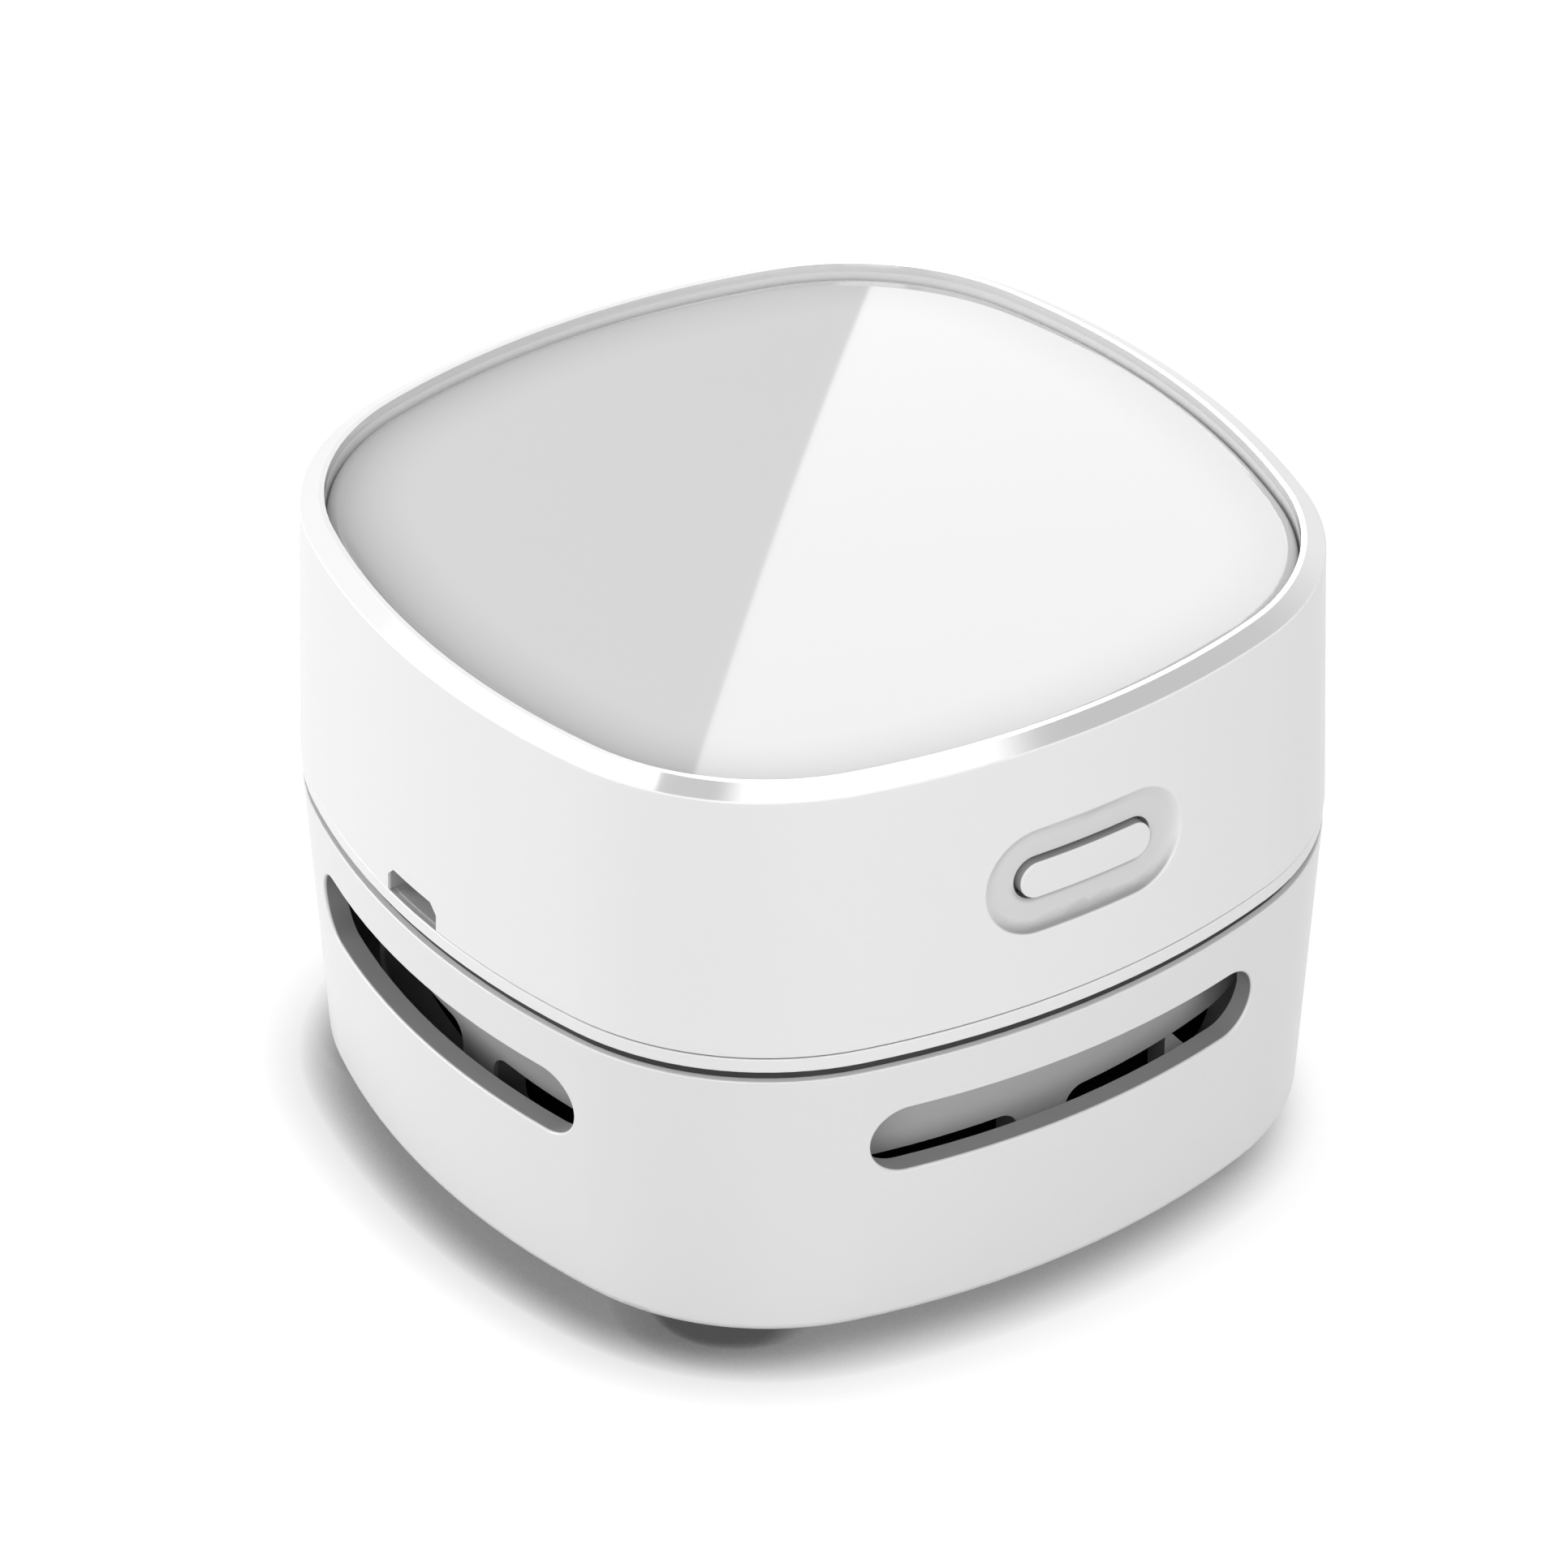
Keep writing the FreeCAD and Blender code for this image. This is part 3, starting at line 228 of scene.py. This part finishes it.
def makeSkin(node, shape):
    # white outside, and painted shade in pale grey wherever the wall is cut through: slots, seam and notch
    look = skinLook
    white = grey(shape["white"])
    finish = moulded(node + "Skin", white, look["roughness"], look["grain"], look["depth"],
                     Coat_Weight=look["gloss"], Coat_Roughness=look["glossRoughness"])
    height = finish.axis("Z")
    depth = outlineInset(finish) - ramp(height, *shape["low"], *shape["high"])
    cut = smooth(depth, *shape.get("skin", look["skin"]))
    cut = cut * between(height, shape["cutFrom"], shape["cutTo"], look["cutFade"])
    colour = flowMarks(finish, white)
    if node == "upper_shell":
        colour = paintDishShade(finish, colour, depth, height)
        polishRim(finish, depth, height)
    # painted shade: the cut faces take a flat grey in place of the shade in slots, seam and notch
    finish.set("Base Color", finish.mix(cut, colour, shape.get("cut", look["cut"])))
    give(finish, node)


def paintDishShade(finish, colour, depth, height):
    # the finger dish, all painted shade: greyer towards its floor, a painted shadow under the button, and
    # darker where its lower edge curves up
    look = dishLook
    within = between(height, look["low"], look["high"], look["fade"])
    colour = finish.mix(smooth(depth, *look["floorDepth"]) * within, colour, grey(look["floor"]))
    beyond = (abs(finish.axis("X")) - look["reach"]).math("MAXIMUM", 0.0)
    drop = height - look["middle"]
    rim = (beyond * beyond + drop * drop).math("SQRT") - look["hole"]
    below = 1.0 - smooth(drop, *look["underDrop"])
    shade = (1.0 - smooth(rim, 0.0, look["underWidth"])) * below * within * smooth(depth, *look["underDepth"])
    colour = finish.mix(shade, colour, grey(look["under"]))
    coveShade = smooth(axisOf(finish.normal(), "Z"), *look["coveTilt"]) * smooth(depth, *look["coveDepth"])
    return finish.mix(coveShade * within, colour, grey(look["coveShade"]))


def polishRim(finish, depth, height):
    # the bevel round the top is polished, so it mirrors the studio more than the satin wall does
    look = rimLook
    band = between(height, look["low"], look["high"] - look["fade"], look["fade"])
    band = band * (1.0 - smooth(depth, look["width"] - look["widthFade"], look["width"]))
    finish.set("Metallic", band * look["polish"])
    finish.set("Roughness", finish.mixValue(band, skinLook["roughness"], look["roughness"]))


for node, shape in skins.items():
    makeSkin(node, shape)
print("shells ready")

panelLook = {"colour": (0.62, 0.62, 0.625), "roughness": 0.02, "grain": 0.6, "gloss": (0.9, 0.2),
             "crown": 1450.0, "top": (0.985, 0.995)}
panelEdgeShade = {"colour": (0.40, 0.40, 0.405), "from": 3.09, "to": 10.59, "power": 1.5,
             "left": (-34.0, 1.0), "right": (16.0, 0.55)}


def makePanel():
    # white with a mirror-like gloss; painted shade greys it towards the rim, most of all on the socket's side
    look = panelLook
    finish = Finish("panelGloss", look["colour"])
    grain = finish.noise(look["grain"], detail=3.0)
    finish.set("Roughness", uneven(grain, look["roughness"], *look["gloss"]))
    x, y = finish.axis("X"), finish.axis("Y")
    edge = 1.0 - ramp(outlineInset(finish), panelEdgeShade["from"], 0.0, panelEdgeShade["to"], 1.0)
    edge = edge.math("POWER", panelEdgeShade["power"]) * ramp(x, *panelEdgeShade["left"], *panelEdgeShade["right"])
    finish.set("Base Color", finish.mix(edge, look["colour"], panelEdgeShade["colour"]))
    # normal = (x / R, y / R, 1) made one long: the ball of radius R that the top face is cut from
    bend = 1 / look["crown"]
    slope = x.node("CombineXYZ", {}, {"X": x * bend, "Y": y * bend, "Z": 1.0})
    ball = slope.node("VectorMath", {"operation": "NORMALIZE"}, {0: slope})
    flat = finish.normal()
    onTop = smooth(axisOf(flat, "Z"), *look["top"])
    finish.set("Normal", slope.node("Mix", {"data_type": "VECTOR"}, {0: onTop, 4: flat, 5: ball}, 1))
    give(finish, "top_panel")


buttonLook = {"colour": (0.84, 0.84, 0.845), "roughness": 0.38, "grain": 0.3, "depth": 0.004}
buttonSideShade = {"colour": (0.30, 0.30, 0.305), "low": (33.18, 0.1), "high": (58.23, 0.92),
              "depth": (0.12, 0.22)}


def makeButton():
    # a white face; its side is painted grey as shade in the gap round it, from a little behind the face
    finish = moulded("buttonWhite", **buttonLook, Coat_Weight=0.2)
    behind = outlineInset(finish) - ramp(finish.axis("Z"), *buttonSideShade["low"], *buttonSideShade["high"])
    side = smooth(behind, *buttonSideShade["depth"])
    finish.set("Base Color", finish.mix(side, buttonLook["colour"], buttonSideShade["colour"]))
    give(finish, "power_button")


cageLook = {"colour": (0.66, 0.66, 0.67), "roughness": 0.55, "grain": 0.3, "depth": 0.008}
cagePaintedShade = {"colour": (0.22, 0.22, 0.225), "depth": (6.55, 6.8), "facing": (0.5, 0.8),
           "left": (0.50, 0.50, 0.51), "leftFrom": (-33.0, -27.0)}


def makeCage():
    # grey outside; painted shade makes it darker on its left and darker still on the walls that cut through
    # it: window ends and flanks of stays
    finish = moulded("cageShade", **cageLook)
    x, y = finish.axis("X"), finish.axis("Y")
    onFront = (abs(y) - abs(x)).math("GREATER_THAN", 0.0)
    normal = finish.normal()
    facing = finish.mixValue(onFront, abs(axisOf(normal, "X")), abs(axisOf(normal, "Y")))
    cut = smooth(outlineInset(finish), *cagePaintedShade["depth"]) * (1.0 - smooth(facing, *cagePaintedShade["facing"]))
    leftShadeMask = 1.0 - smooth(x, *cagePaintedShade["leftFrom"])
    outside = finish.mix(leftShadeMask, cageLook["colour"], cagePaintedShade["left"])
    finish.set("Base Color", finish.mix(cut, outside, cagePaintedShade["colour"]))
    give(finish, "dust_cage")


plainLooks = {
    "cageGrey": {"look": cageLook, "on": ("nozzle_plate",)},
    "ductBlack": {"look": {"colour": (0.030, 0.030, 0.032), "roughness": 0.45, "grain": 0.4, "depth": 0.008},
                  "on": ("intake_duct", "fan_cover")},
    "innerGrey": {"look": {"colour": (0.55, 0.56, 0.57), "roughness": 0.5, "grain": 0.4, "depth": 0.01},
                  "on": ("motor_well", "fan_spacers", "switch_bracket", "battery_cradle")},
    "fanNylon": {"look": {"colour": (0.72, 0.72, 0.71), "roughness": 0.42, "grain": 0.5, "depth": 0.006,
                          "Subsurface_Weight": 0.1, "Subsurface_Scale": 0.001},
                 "on": ("impeller",)},
    "capBlack": {"look": {"colour": (0.04, 0.04, 0.043), "roughness": 0.5, "grain": 0.3, "depth": 0.01},
                 "on": ("motor_end_cap", "tact_switch", "switch_plunger")},
    "partBlack": {"look": {"colour": (0.018, 0.018, 0.02), "roughness": 0.4, "grain": 0.2, "depth": 0.01},
                  "on": ("board_parts",)},
}

makePanel()
makeButton()
makeCage()
for name, row in plainLooks.items():
    give(moulded(name, **row["look"]), *row["on"])
print("moulded pieces ready")

weaveLook = {"colour": (0.004, 0.004, 0.0045), "crown": (0.010, 0.010, 0.011), "roughness": 0.8,
             "pitch": 0.42, "radius": 31.45, "bump": 0.8, "depth": 0.12}


def makeWeave():
    # two sets of threads that pass over and under each other round the sleeve; painted shade makes them
    # darker where they dip, paler on their crowns
    look = weaveLook
    finish = Finish("filterWeave", look["colour"], Roughness=look["roughness"], Specular_IOR_Level=0.0)
    x, y, z = (finish.axis(name) for name in "XYZ")
    along = y.math("ARCTAN2", x) * (look["radius"] * math.pi / look["pitch"])
    up = z * (math.pi / look["pitch"])
    warp, weft = abs(along.math("SINE")), abs(up.math("SINE"))
    over = (along.math("COSINE") * up.math("COSINE")).math("GREATER_THAN", 0.0)
    height = warp * over + weft * (1.0 - over)
    finish.set("Base Color", finish.mix(height, look["colour"], look["crown"]))
    finish.bump(height, look["bump"], look["depth"])
    give(finish, "filter_mesh")


rubberLook = {"shine": 0.3, "bloom": 5.0, "bloomFrom": (0.4, 0.7), "paler": 1.25, "lift": 0.004,
              "rougher": 0.1, "bump": 0.6}
rubbers = {
    "footRubber": {"colour": (0.10, 0.10, 0.105), "roughness": 0.8, "pore": 0.15, "depth": 0.02,
                   "on": ("rubber_feet",)},
    "sealRubber": {"colour": (0.045, 0.045, 0.047), "roughness": 0.75, "pore": 0.15, "depth": 0.01,
                   "on": ("case_seal",)},
    "gasketFoam": {"colour": (0.030, 0.030, 0.032), "roughness": 0.95, "pore": 0.35, "depth": 0.08,
                   "on": ("cage_gasket", "motor_damper")},
}


def makeRubber(name, colour, roughness, pore, depth, on):
    # matte rubber or foam: pores, and a dusty bloom in patches
    look = rubberLook
    finish = Finish(name, colour, Roughness=roughness, Specular_IOR_Level=look["shine"])
    bloom = smooth(finish.noise(look["bloom"], detail=3.0), *look["bloomFrom"])
    dusty = tuple(c * look["paler"] + look["lift"] for c in colour)
    finish.set("Base Color", finish.mix(bloom, colour, dusty))
    finish.set("Roughness", roughness + look["rougher"] * bloom)
    finish.bump(finish.noise(pore, detail=4.0), look["bump"], depth)
    give(finish, *on)


metalLook = {"line": 0.25, "patch": 3.0, "patchShade": 0.9, "gloss": (0.75, 0.5), "bump": 0.3, "depth": 0.01}
metals = {
    "screwZinc": {"colour": (0.62, 0.62, 0.63), "roughness": 0.32, "brushing": (1.0, 1.0, 0.3),
                  "on": ("nozzle_screws", "cage_screws", "case_screws", "motor_screws", "fan_cover_screws",
                         "board_screws")},
    "shaftSteel": {"colour": (0.60, 0.60, 0.61), "roughness": 0.2, "brushing": (1.0, 1.0, 0.1),
                   "on": ("motor_shaft",)},
    "motorSteel": {"colour": (0.55, 0.55, 0.56), "roughness": 0.35, "brushing": (1.0, 1.0, 0.06),
                   "on": ("motor_can",)},
    "bushBrass": {"colour": (0.66, 0.46, 0.18), "roughness": 0.42, "brushing": (1.0, 1.0, 1.0),
                  "on": ("motor_bush",)},
    "plateNickel": {"colour": (0.66, 0.63, 0.58), "roughness": 0.28, "brushing": (0.1, 1.0, 1.0),
                    "on": ("battery_tabs", "usb_socket")},
}


def makeMetal(name, colour, roughness, brushing, on):
    # drawn or plated metal: fine lines along one axis and slightly uneven gloss
    look = metalLook
    finish = Finish(name, colour, Metallic=1.0, Roughness=roughness)
    lines = finish.noise(look["line"], detail=4.0, stretch=brushing)
    patches = finish.noise(look["patch"])
    finish.set("Base Color", finish.mix(patches, dimmed(colour, look["patchShade"]), colour))
    finish.set("Roughness", uneven(lines, roughness, *look["gloss"]))
    finish.bump(lines, look["bump"], look["depth"])
    give(finish, *on)


boardLook = {"mask": (0.012, 0.085, 0.035), "track": (0.02, 0.13, 0.05), "pad": (0.75, 0.68, 0.5),
             "roughness": 0.3, "gloss": 0.5, "glossRoughness": 0.15, "bump": 0.6, "depth": 0.03,
             "trackTurns": 2.2, "trackEdge": (0.80, 0.86), "patch": 5.0, "patchEdge": (0.45, 0.5),
             "padCells": 0.4, "padEdge": (0.12, 0.15)}


def makeBoards():
    # solder mask over copper tracks, with a few bright pads
    look = boardLook
    finish = Finish("boardGreen", look["mask"], Roughness=look["roughness"], Coat_Weight=look["gloss"],
                    Coat_Roughness=look["glossRoughness"])
    waves = ((finish.axis("X") + finish.axis("Z")) * look["trackTurns"]).math("SINE")
    patches = smooth(finish.noise(look["patch"], detail=1.0), *look["patchEdge"])
    tracks = smooth(abs(waves), *look["trackEdge"]) * patches
    cells = finish.place.node("TexVoronoi", {}, {"Vector": finish.place, "Scale": look["padCells"]})
    pads = 1.0 - smooth(cells, *look["padEdge"])
    colour = finish.mix(tracks, look["mask"], look["track"])
    finish.set("Base Color", finish.mix(pads, colour, look["pad"]))
    finish.set("Metallic", pads)
    finish.bump((tracks + pads).math("MINIMUM", 1.0), look["bump"], look["depth"])
    give(finish, "main_board", "switch_board")


sleeveLook = {"colour": (0.016, 0.10, 0.30), "creaseShade": 0.85, "crease": 1.6, "stretch": (0.25, 1.0, 1.0),
              "smoothest": 0.2, "rougher": 0.15, "gloss": 0.6, "glossRoughness": 0.1, "bump": 0.4,
              "depth": 0.05}


def makeSleeve():
    # shrink sleeve on the cell: glossy, with faint creases across it that painted shade darkens in their
    # hollows
    look = sleeveLook
    finish = Finish("cellSleeve", look["colour"], Coat_Weight=look["gloss"],
                    Coat_Roughness=look["glossRoughness"])
    creases = finish.noise(look["crease"], detail=3.0, stretch=look["stretch"])
    colour = finish.mix(creases, dimmed(look["colour"], look["creaseShade"]), look["colour"])
    finish.set("Base Color", colour)
    finish.set("Roughness", look["smoothest"] + look["rougher"] * creases)
    finish.bump(creases, look["bump"], look["depth"])
    give(finish, "battery")


makeWeave()
for name, look in rubbers.items():
    makeRubber(name, **look)
for name, look in metals.items():
    makeMetal(name, **look)
makeBoards()
makeSleeve()
print("rubber, metal and board finishes ready")

brushes = {
    "brush_front": {"middle": -10.5, "seed": 5},
    "brush_rear": {"middle": 10.5, "seed": 11},
}
brushLook = {"length": 45.8, "width": 2.6, "low": 2.8, "high": 4.4, "chamfer": 0.15, "endPoints": 16,
             "tufts": 14, "pitch": 3.1, "tuftRadius": 0.72, "filled": 0.7, "perTuft": 46,
             "thickness": 0.055, "sides": 5, "splay": 0.14, "stray": 0.03, "bend": 1.6,
             "tip": 0.45, "tipUneven": 0.25, "sharp": 40.0}
nylonLook = {"colour": (0.62, 0.62, 0.60), "dark": (0.50, 0.50, 0.48), "light": (0.68, 0.68, 0.66),
             "smoothest": 0.3, "rougher": 0.2, "streak": 0.4, "stretch": (1.0, 1.0, 0.2),
             "glow": 0.2, "glowDepth": 0.0005}


def pillRing(length, width, middle, height, count):
    # point(t) = the end's centre + half the width * (cos t, sin t); t goes once round, and the centre
    # changes end where cos t changes sign
    reach, radius = (length - width) / 2, width / 2
    turns = np.linspace(-math.pi / 2, 3 * math.pi / 2, 2 * count, endpoint=False) + math.pi / (2 * count)
    x = np.where(np.cos(turns) > 0, reach, -reach) + radius * np.cos(turns)
    return np.column_stack([x, middle + radius * np.sin(turns), np.full_like(x, height)])


def tubeFaces(rows, side, downwards=False):
    # quads between neighbouring rings of side points, and a flat face over each end
    k = np.arange(side)
    around = np.stack([k, np.roll(k, -1), np.roll(k, -1) + side, k + side], 1)
    walls = (np.arange(rows - 1)[:, None, None] * side + around).reshape(-1, 4)
    first, last = k[::-1], k + (rows - 1) * side
    if downwards:
        walls, first, last = walls[:, ::-1], first[::-1], last[::-1]
    return walls, first, last


def makeBar(look, middle):
    # the strip that holds the tufts: rounded ends, and small chamfers at both faces
    low, high, chamfer = look["low"], look["high"], look["chamfer"]
    levels = [(low, -2 * chamfer), (low + chamfer, 0.0), (high - chamfer, 0.0), (high, -2 * chamfer)]
    rings = [pillRing(look["length"] + grow, look["width"] + grow, middle, z, look["endPoints"])
             for z, grow in levels]
    walls, first, last = tubeFaces(len(rings), len(rings[0]))
    return np.vstack(rings), walls.tolist() + [first.tolist(), last.tolist()]


def makeBristles(look, middle, seed):
    # point(bristle, share, t) = tuft's centre + root + lean * share^bend + thickness * (cos t, sin t), at a
    # height that falls evenly with share from the bar to the tip; root is inside the tuft and lean points
    # away from it
    random = np.random.default_rng(seed)
    count, side = look["tufts"] * look["perTuft"], look["sides"]
    tuft = np.repeat(np.arange(look["tufts"]), look["perTuft"]) + (1 - look["tufts"]) / 2
    centre = np.column_stack([tuft * look["pitch"], np.full(count, middle)])
    angle = random.uniform(0, 2 * math.pi, count)
    out = look["tuftRadius"] * np.sqrt(random.uniform(0, look["filled"], count))
    root = np.column_stack([np.cos(angle), np.sin(angle)]) * out[:, None]
    lean = root * look["splay"] + random.normal(0, look["stray"], (count, 2))
    tip = look["tip"] + random.uniform(0, look["tipUneven"], count)
    share = np.array([0.0, 0.5, 1.0])
    turns = np.arange(side) * (2 * math.pi / side)
    ring = np.column_stack([np.cos(turns), np.sin(turns)]) * look["thickness"]
    bend = lean[:, None, None, :] * share[None, :, None, None] ** look["bend"]
    flat = (centre + root)[:, None, None, :] + bend + ring[None, None, :, :]
    level = look["low"] + (tip - look["low"])[:, None, None] * share[None, :, None]
    level = np.broadcast_to(level, flat.shape[:3])
    places = np.concatenate([flat, level[..., None]], axis=3).reshape(-1, 3)
    walls, _, last = tubeFaces(len(share), side, downwards=True)
    starts = np.arange(count) * side * len(share)
    faces = (starts[:, None, None] + walls).reshape(-1, 4).tolist() + (starts[:, None] + last).tolist()
    return places, faces


def meshPiece(name, places, faces, finish, angle):
    # smooth where neighbouring faces meet at less than this angle in degrees
    mesh = bpy.data.meshes.new(name)
    mesh.from_pydata((places * mm).tolist(), [], faces)
    mesh.materials.append(finish.material)
    piece = bpy.data.objects.new(name, mesh)
    scene.collection.objects.link(piece)
    mesh.polygons.foreach_set("use_smooth", [True] * len(mesh.polygons))
    mesh.set_sharp_from_angle(angle=math.radians(angle))
    return piece


def makeBrushes():
    look = nylonLook
    nylon = Finish("brushNylon", look["colour"], Subsurface_Weight=look["glow"],
                   Subsurface_Scale=look["glowDepth"])
    streaks = nylon.noise(look["streak"], stretch=look["stretch"])
    nylon.set("Base Color", nylon.mix(streaks, look["dark"], look["light"]))
    nylon.set("Roughness", look["smoothest"] + look["rougher"] * streaks)
    for name, place in brushes.items():
        bar, barFaces = makeBar(brushLook, place["middle"])
        hairs, hairFaces = makeBristles(brushLook, place["middle"], place["seed"])
        faces = barFaces + [[k + len(bar) for k in face] for face in hairFaces]
        piece = meshPiece(name + "_bristles", np.vstack([bar, hairs]), faces, nylon, brushLook["sharp"])
        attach(piece, "dust_box")
        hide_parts(name)


makeBrushes()
print("brushes ready")

# near and wide give the distance in metres within which the object shades the paper, and how strongly
floorLook = {"half": 3.0, "level": -0.00002, "colour": 0.62, "shown": 1.0, "lit": 1.4, "own": 0.08,
             "lean": (0.966, 0.259, 0.3), "near": (0.0047, 1.9), "wide": (0.008, 0.85), "darkest": 0.08,
             "samples": 24}


def shownRays(place):
    # 1 for the rays that show a thing as it looks: camera, glossy and transmission rays
    kinds = ("Is Camera Ray", "Is Glossy Ray", "Is Transmission Ray")
    camera, glossy, through = (place.node("LightPath", {}, {}, kind) for kind in kinds)
    return camera.math("MAXIMUM", glossy).math("MAXIMUM", through)


def makeFloor():
    # white paper that shows as a bright ground, with the shade that a standing object leaves on it
    look = floorLook
    half, level = look["half"], look["level"]
    corners = [(-half, -half, level), (half, -half, level), (half, half, level), (-half, half, level)]
    mesh = bpy.data.meshes.new("floor")
    mesh.from_pydata(corners, [], [(0, 1, 2, 3)])
    floor = bpy.data.objects.new("floor", mesh)
    scene.collection.objects.link(floor)
    finish = Finish("floorPaper", grey(look["colour"]), Roughness=1.0, Specular_IOR_Level=0.0)
    start, black = finish.place, grey(0.0)
    lean = start.node("CombineXYZ", {}, dict(enumerate(look["lean"])))

    def closed(reach, strength):
        inputs = {"Distance": reach, "Normal": lean}
        return (1.0 - start.node("AmbientOcclusion", {"samples": look["samples"]}, inputs, "AO")) * strength

    light = (1.0 - closed(*look["near"]) - closed(*look["wide"])).math("MAXIMUM", look["darkest"])
    glow = finish.mix(light, black, grey(look["shown"]))
    bright = start.node("Emission", {}, {"Color": glow, "Strength": 1.0})
    lit = start.node("BsdfDiffuse", {}, {"Color": finish.mix(light, black, grey(look["lit"]))})
    shown = start.node("MixShader", {}, {0: look["own"], 1: bright, 2: lit})
    plain = start.node("BsdfDiffuse", {}, {"Color": rgba(grey(look["colour"]))})
    both = start.node("MixShader", {}, {0: shownRays(start), 1: plain, 2: shown})
    # clear from below, so that the underside can be seen
    fromBelow = start.node("NewGeometry", {}, {}, "Backfacing")
    oneSided = start.node("MixShader", {}, {0: fromBelow, 1: both, 2: start.node("BsdfTransparent")})
    finish.tree.links.new(oneSided.socket, finish.tree.nodes["Material Output"].inputs["Surface"])
    mesh.materials.append(finish.material)


worldLook = {"zenith": 0.50, "horizon": 0.27, "shown": 1.0}
# what shiny faces mirror: strips of light and dark overhead, and one card behind with a slanted edge;
# each of the strips' edges has its place and its width, measured on a level sheet one high
strips = {"across": (0.555, -0.832, 0.0), "along": (0.832, 0.555, 0.0), "end": 0.85, "bright": 1.7,
          "dark": 0.02, "edges": ((-1.19, 0.01), (-0.35, 0.01), (-0.09, 0.14), (0.365, 0.05)),
          "lowest": 0.02, "farFade": (0.25, 0.9), "softness": 0.008}
card = {"edge": (-0.7527, 0.6367, -0.1676), "edgeWidth": 0.0006, "middle": (0.551, 0.657, 0.515),
        "reach": 14.0, "bright": 4.0, "softness": 0.008}


def makeWorld():
    world = bpy.data.worlds.new("studio")
    scene.world = world
    world.use_nodes = True
    tree = world.node_tree
    coordinates = tree.nodes.new("ShaderNodeTexCoord")
    direction = Sock(tree, coordinates.outputs["Generated"])

    def along(vector):
        return direction.node("VectorMath", {"operation": "DOT_PRODUCT"}, {0: direction, 1: vector}, "Value")

    def step(value, place, width):
        return smooth(value, place - width / 2, place + width / 2)

    height = along((0.0, 0.0, 1.0)).math("MAXIMUM", strips["lowest"])
    acrossStrips = along(strips["across"]).math("DIVIDE", height)
    alongStrips = along(strips["along"]).math("DIVIDE", height)
    first, second, third, last = (step(acrossStrips, *edge) for edge in strips["edges"])
    lit = first - second + third - last
    dim = second - third
    near = 1.0 - step(alongStrips, strips["end"], strips["softness"])
    overhead = smooth(height, *strips["farFade"])
    darker = strips["dark"] - 1.0
    level = 1.0 + lit * near * (strips["bright"] - 1.0) + dim * near * darker + last * overhead * darker
    inCard = 1.0 - step(along(card["edge"]), 0.0, card["edgeWidth"])
    inCard = inCard * step(along(card["middle"]), math.cos(math.radians(card["reach"])), card["softness"])
    level = level + inCard * (card["bright"] - 1.0)

    def mixGrey(mask, first, second):
        return mask.node("Mix", {"data_type": "RGBA"}, {0: mask, 6: first, 7: second}, 2)

    sky = mixGrey(smooth(height, 0.0, 1.0), rgba(grey(worldLook["horizon"])), rgba(grey(worldLook["zenith"])))
    shown = mixGrey(shownRays(direction), sky, rgba(grey(worldLook["shown"])))
    glossy = direction.node("LightPath", {}, {}, "Is Glossy Ray")
    strength = 1.0 + glossy * (level - 1.0)
    background = tree.nodes["Background"]
    tree.links.new(shown.socket, background.inputs["Color"])
    tree.links.new(strength.socket, background.inputs["Strength"])


lampLook = {"size": 0.7, "aim": (0.0, 0.0, 0.03)}
lamps = {
    "topBox": {"place": (0.25, 0.2, 1.2), "power": 3.0},
    "backLeftBox": {"place": (-0.75, 0.85, 0.45), "power": 7.6},
    "frontLeftBox": {"place": (-0.8, -0.85, 0.6), "power": 4.2},
    "frontBox": {"place": (0.1, -1.2, 0.22), "power": 2.0},
    "highFrontBox": {"place": (0.0, -0.8, 1.0), "power": 2.9},
}


def makeLamps():
    for name, look in lamps.items():
        data = bpy.data.lights.new(name, "AREA")
        data.shape = "DISK"
        data.size = lampLook["size"]
        data.energy = look["power"]
        lamp = bpy.data.objects.new(name, data)
        scene.collection.objects.link(lamp)
        lamp.location = look["place"]
        towards = Vector(lampLook["aim"]) - lamp.location
        lamp.rotation_euler = towards.to_track_quat("-Z", "Y").to_euler()


cameraLook = {"eye": (-0.31673, -0.46040, 0.40579), "target": (0.0, 0.0, 0.033), "lens": 174.95,
              "sensor": 36.0, "shift": (-0.016856, -0.015283), "clip": (0.05, 20.0)}


def makeCamera():
    look = cameraLook
    data = bpy.data.cameras.new("camera")
    camera = bpy.data.objects.new("camera", data)
    scene.collection.objects.link(camera)
    eye, target = Vector(look["eye"]), Vector(look["target"])
    turn = (target - eye).to_track_quat("-Z", "Y").to_matrix().to_4x4()
    camera.matrix_world = Matrix.Translation(eye) @ turn
    data.lens = look["lens"]
    data.sensor_width = look["sensor"]
    data.shift_x, data.shift_y = look["shift"]
    data.clip_start, data.clip_end = look["clip"]
    scene.camera = camera


makeFloor()
makeWorld()
makeLamps()
makeCamera()
scene.view_settings.view_transform = "Standard"
print("stage, lamps and camera ready")
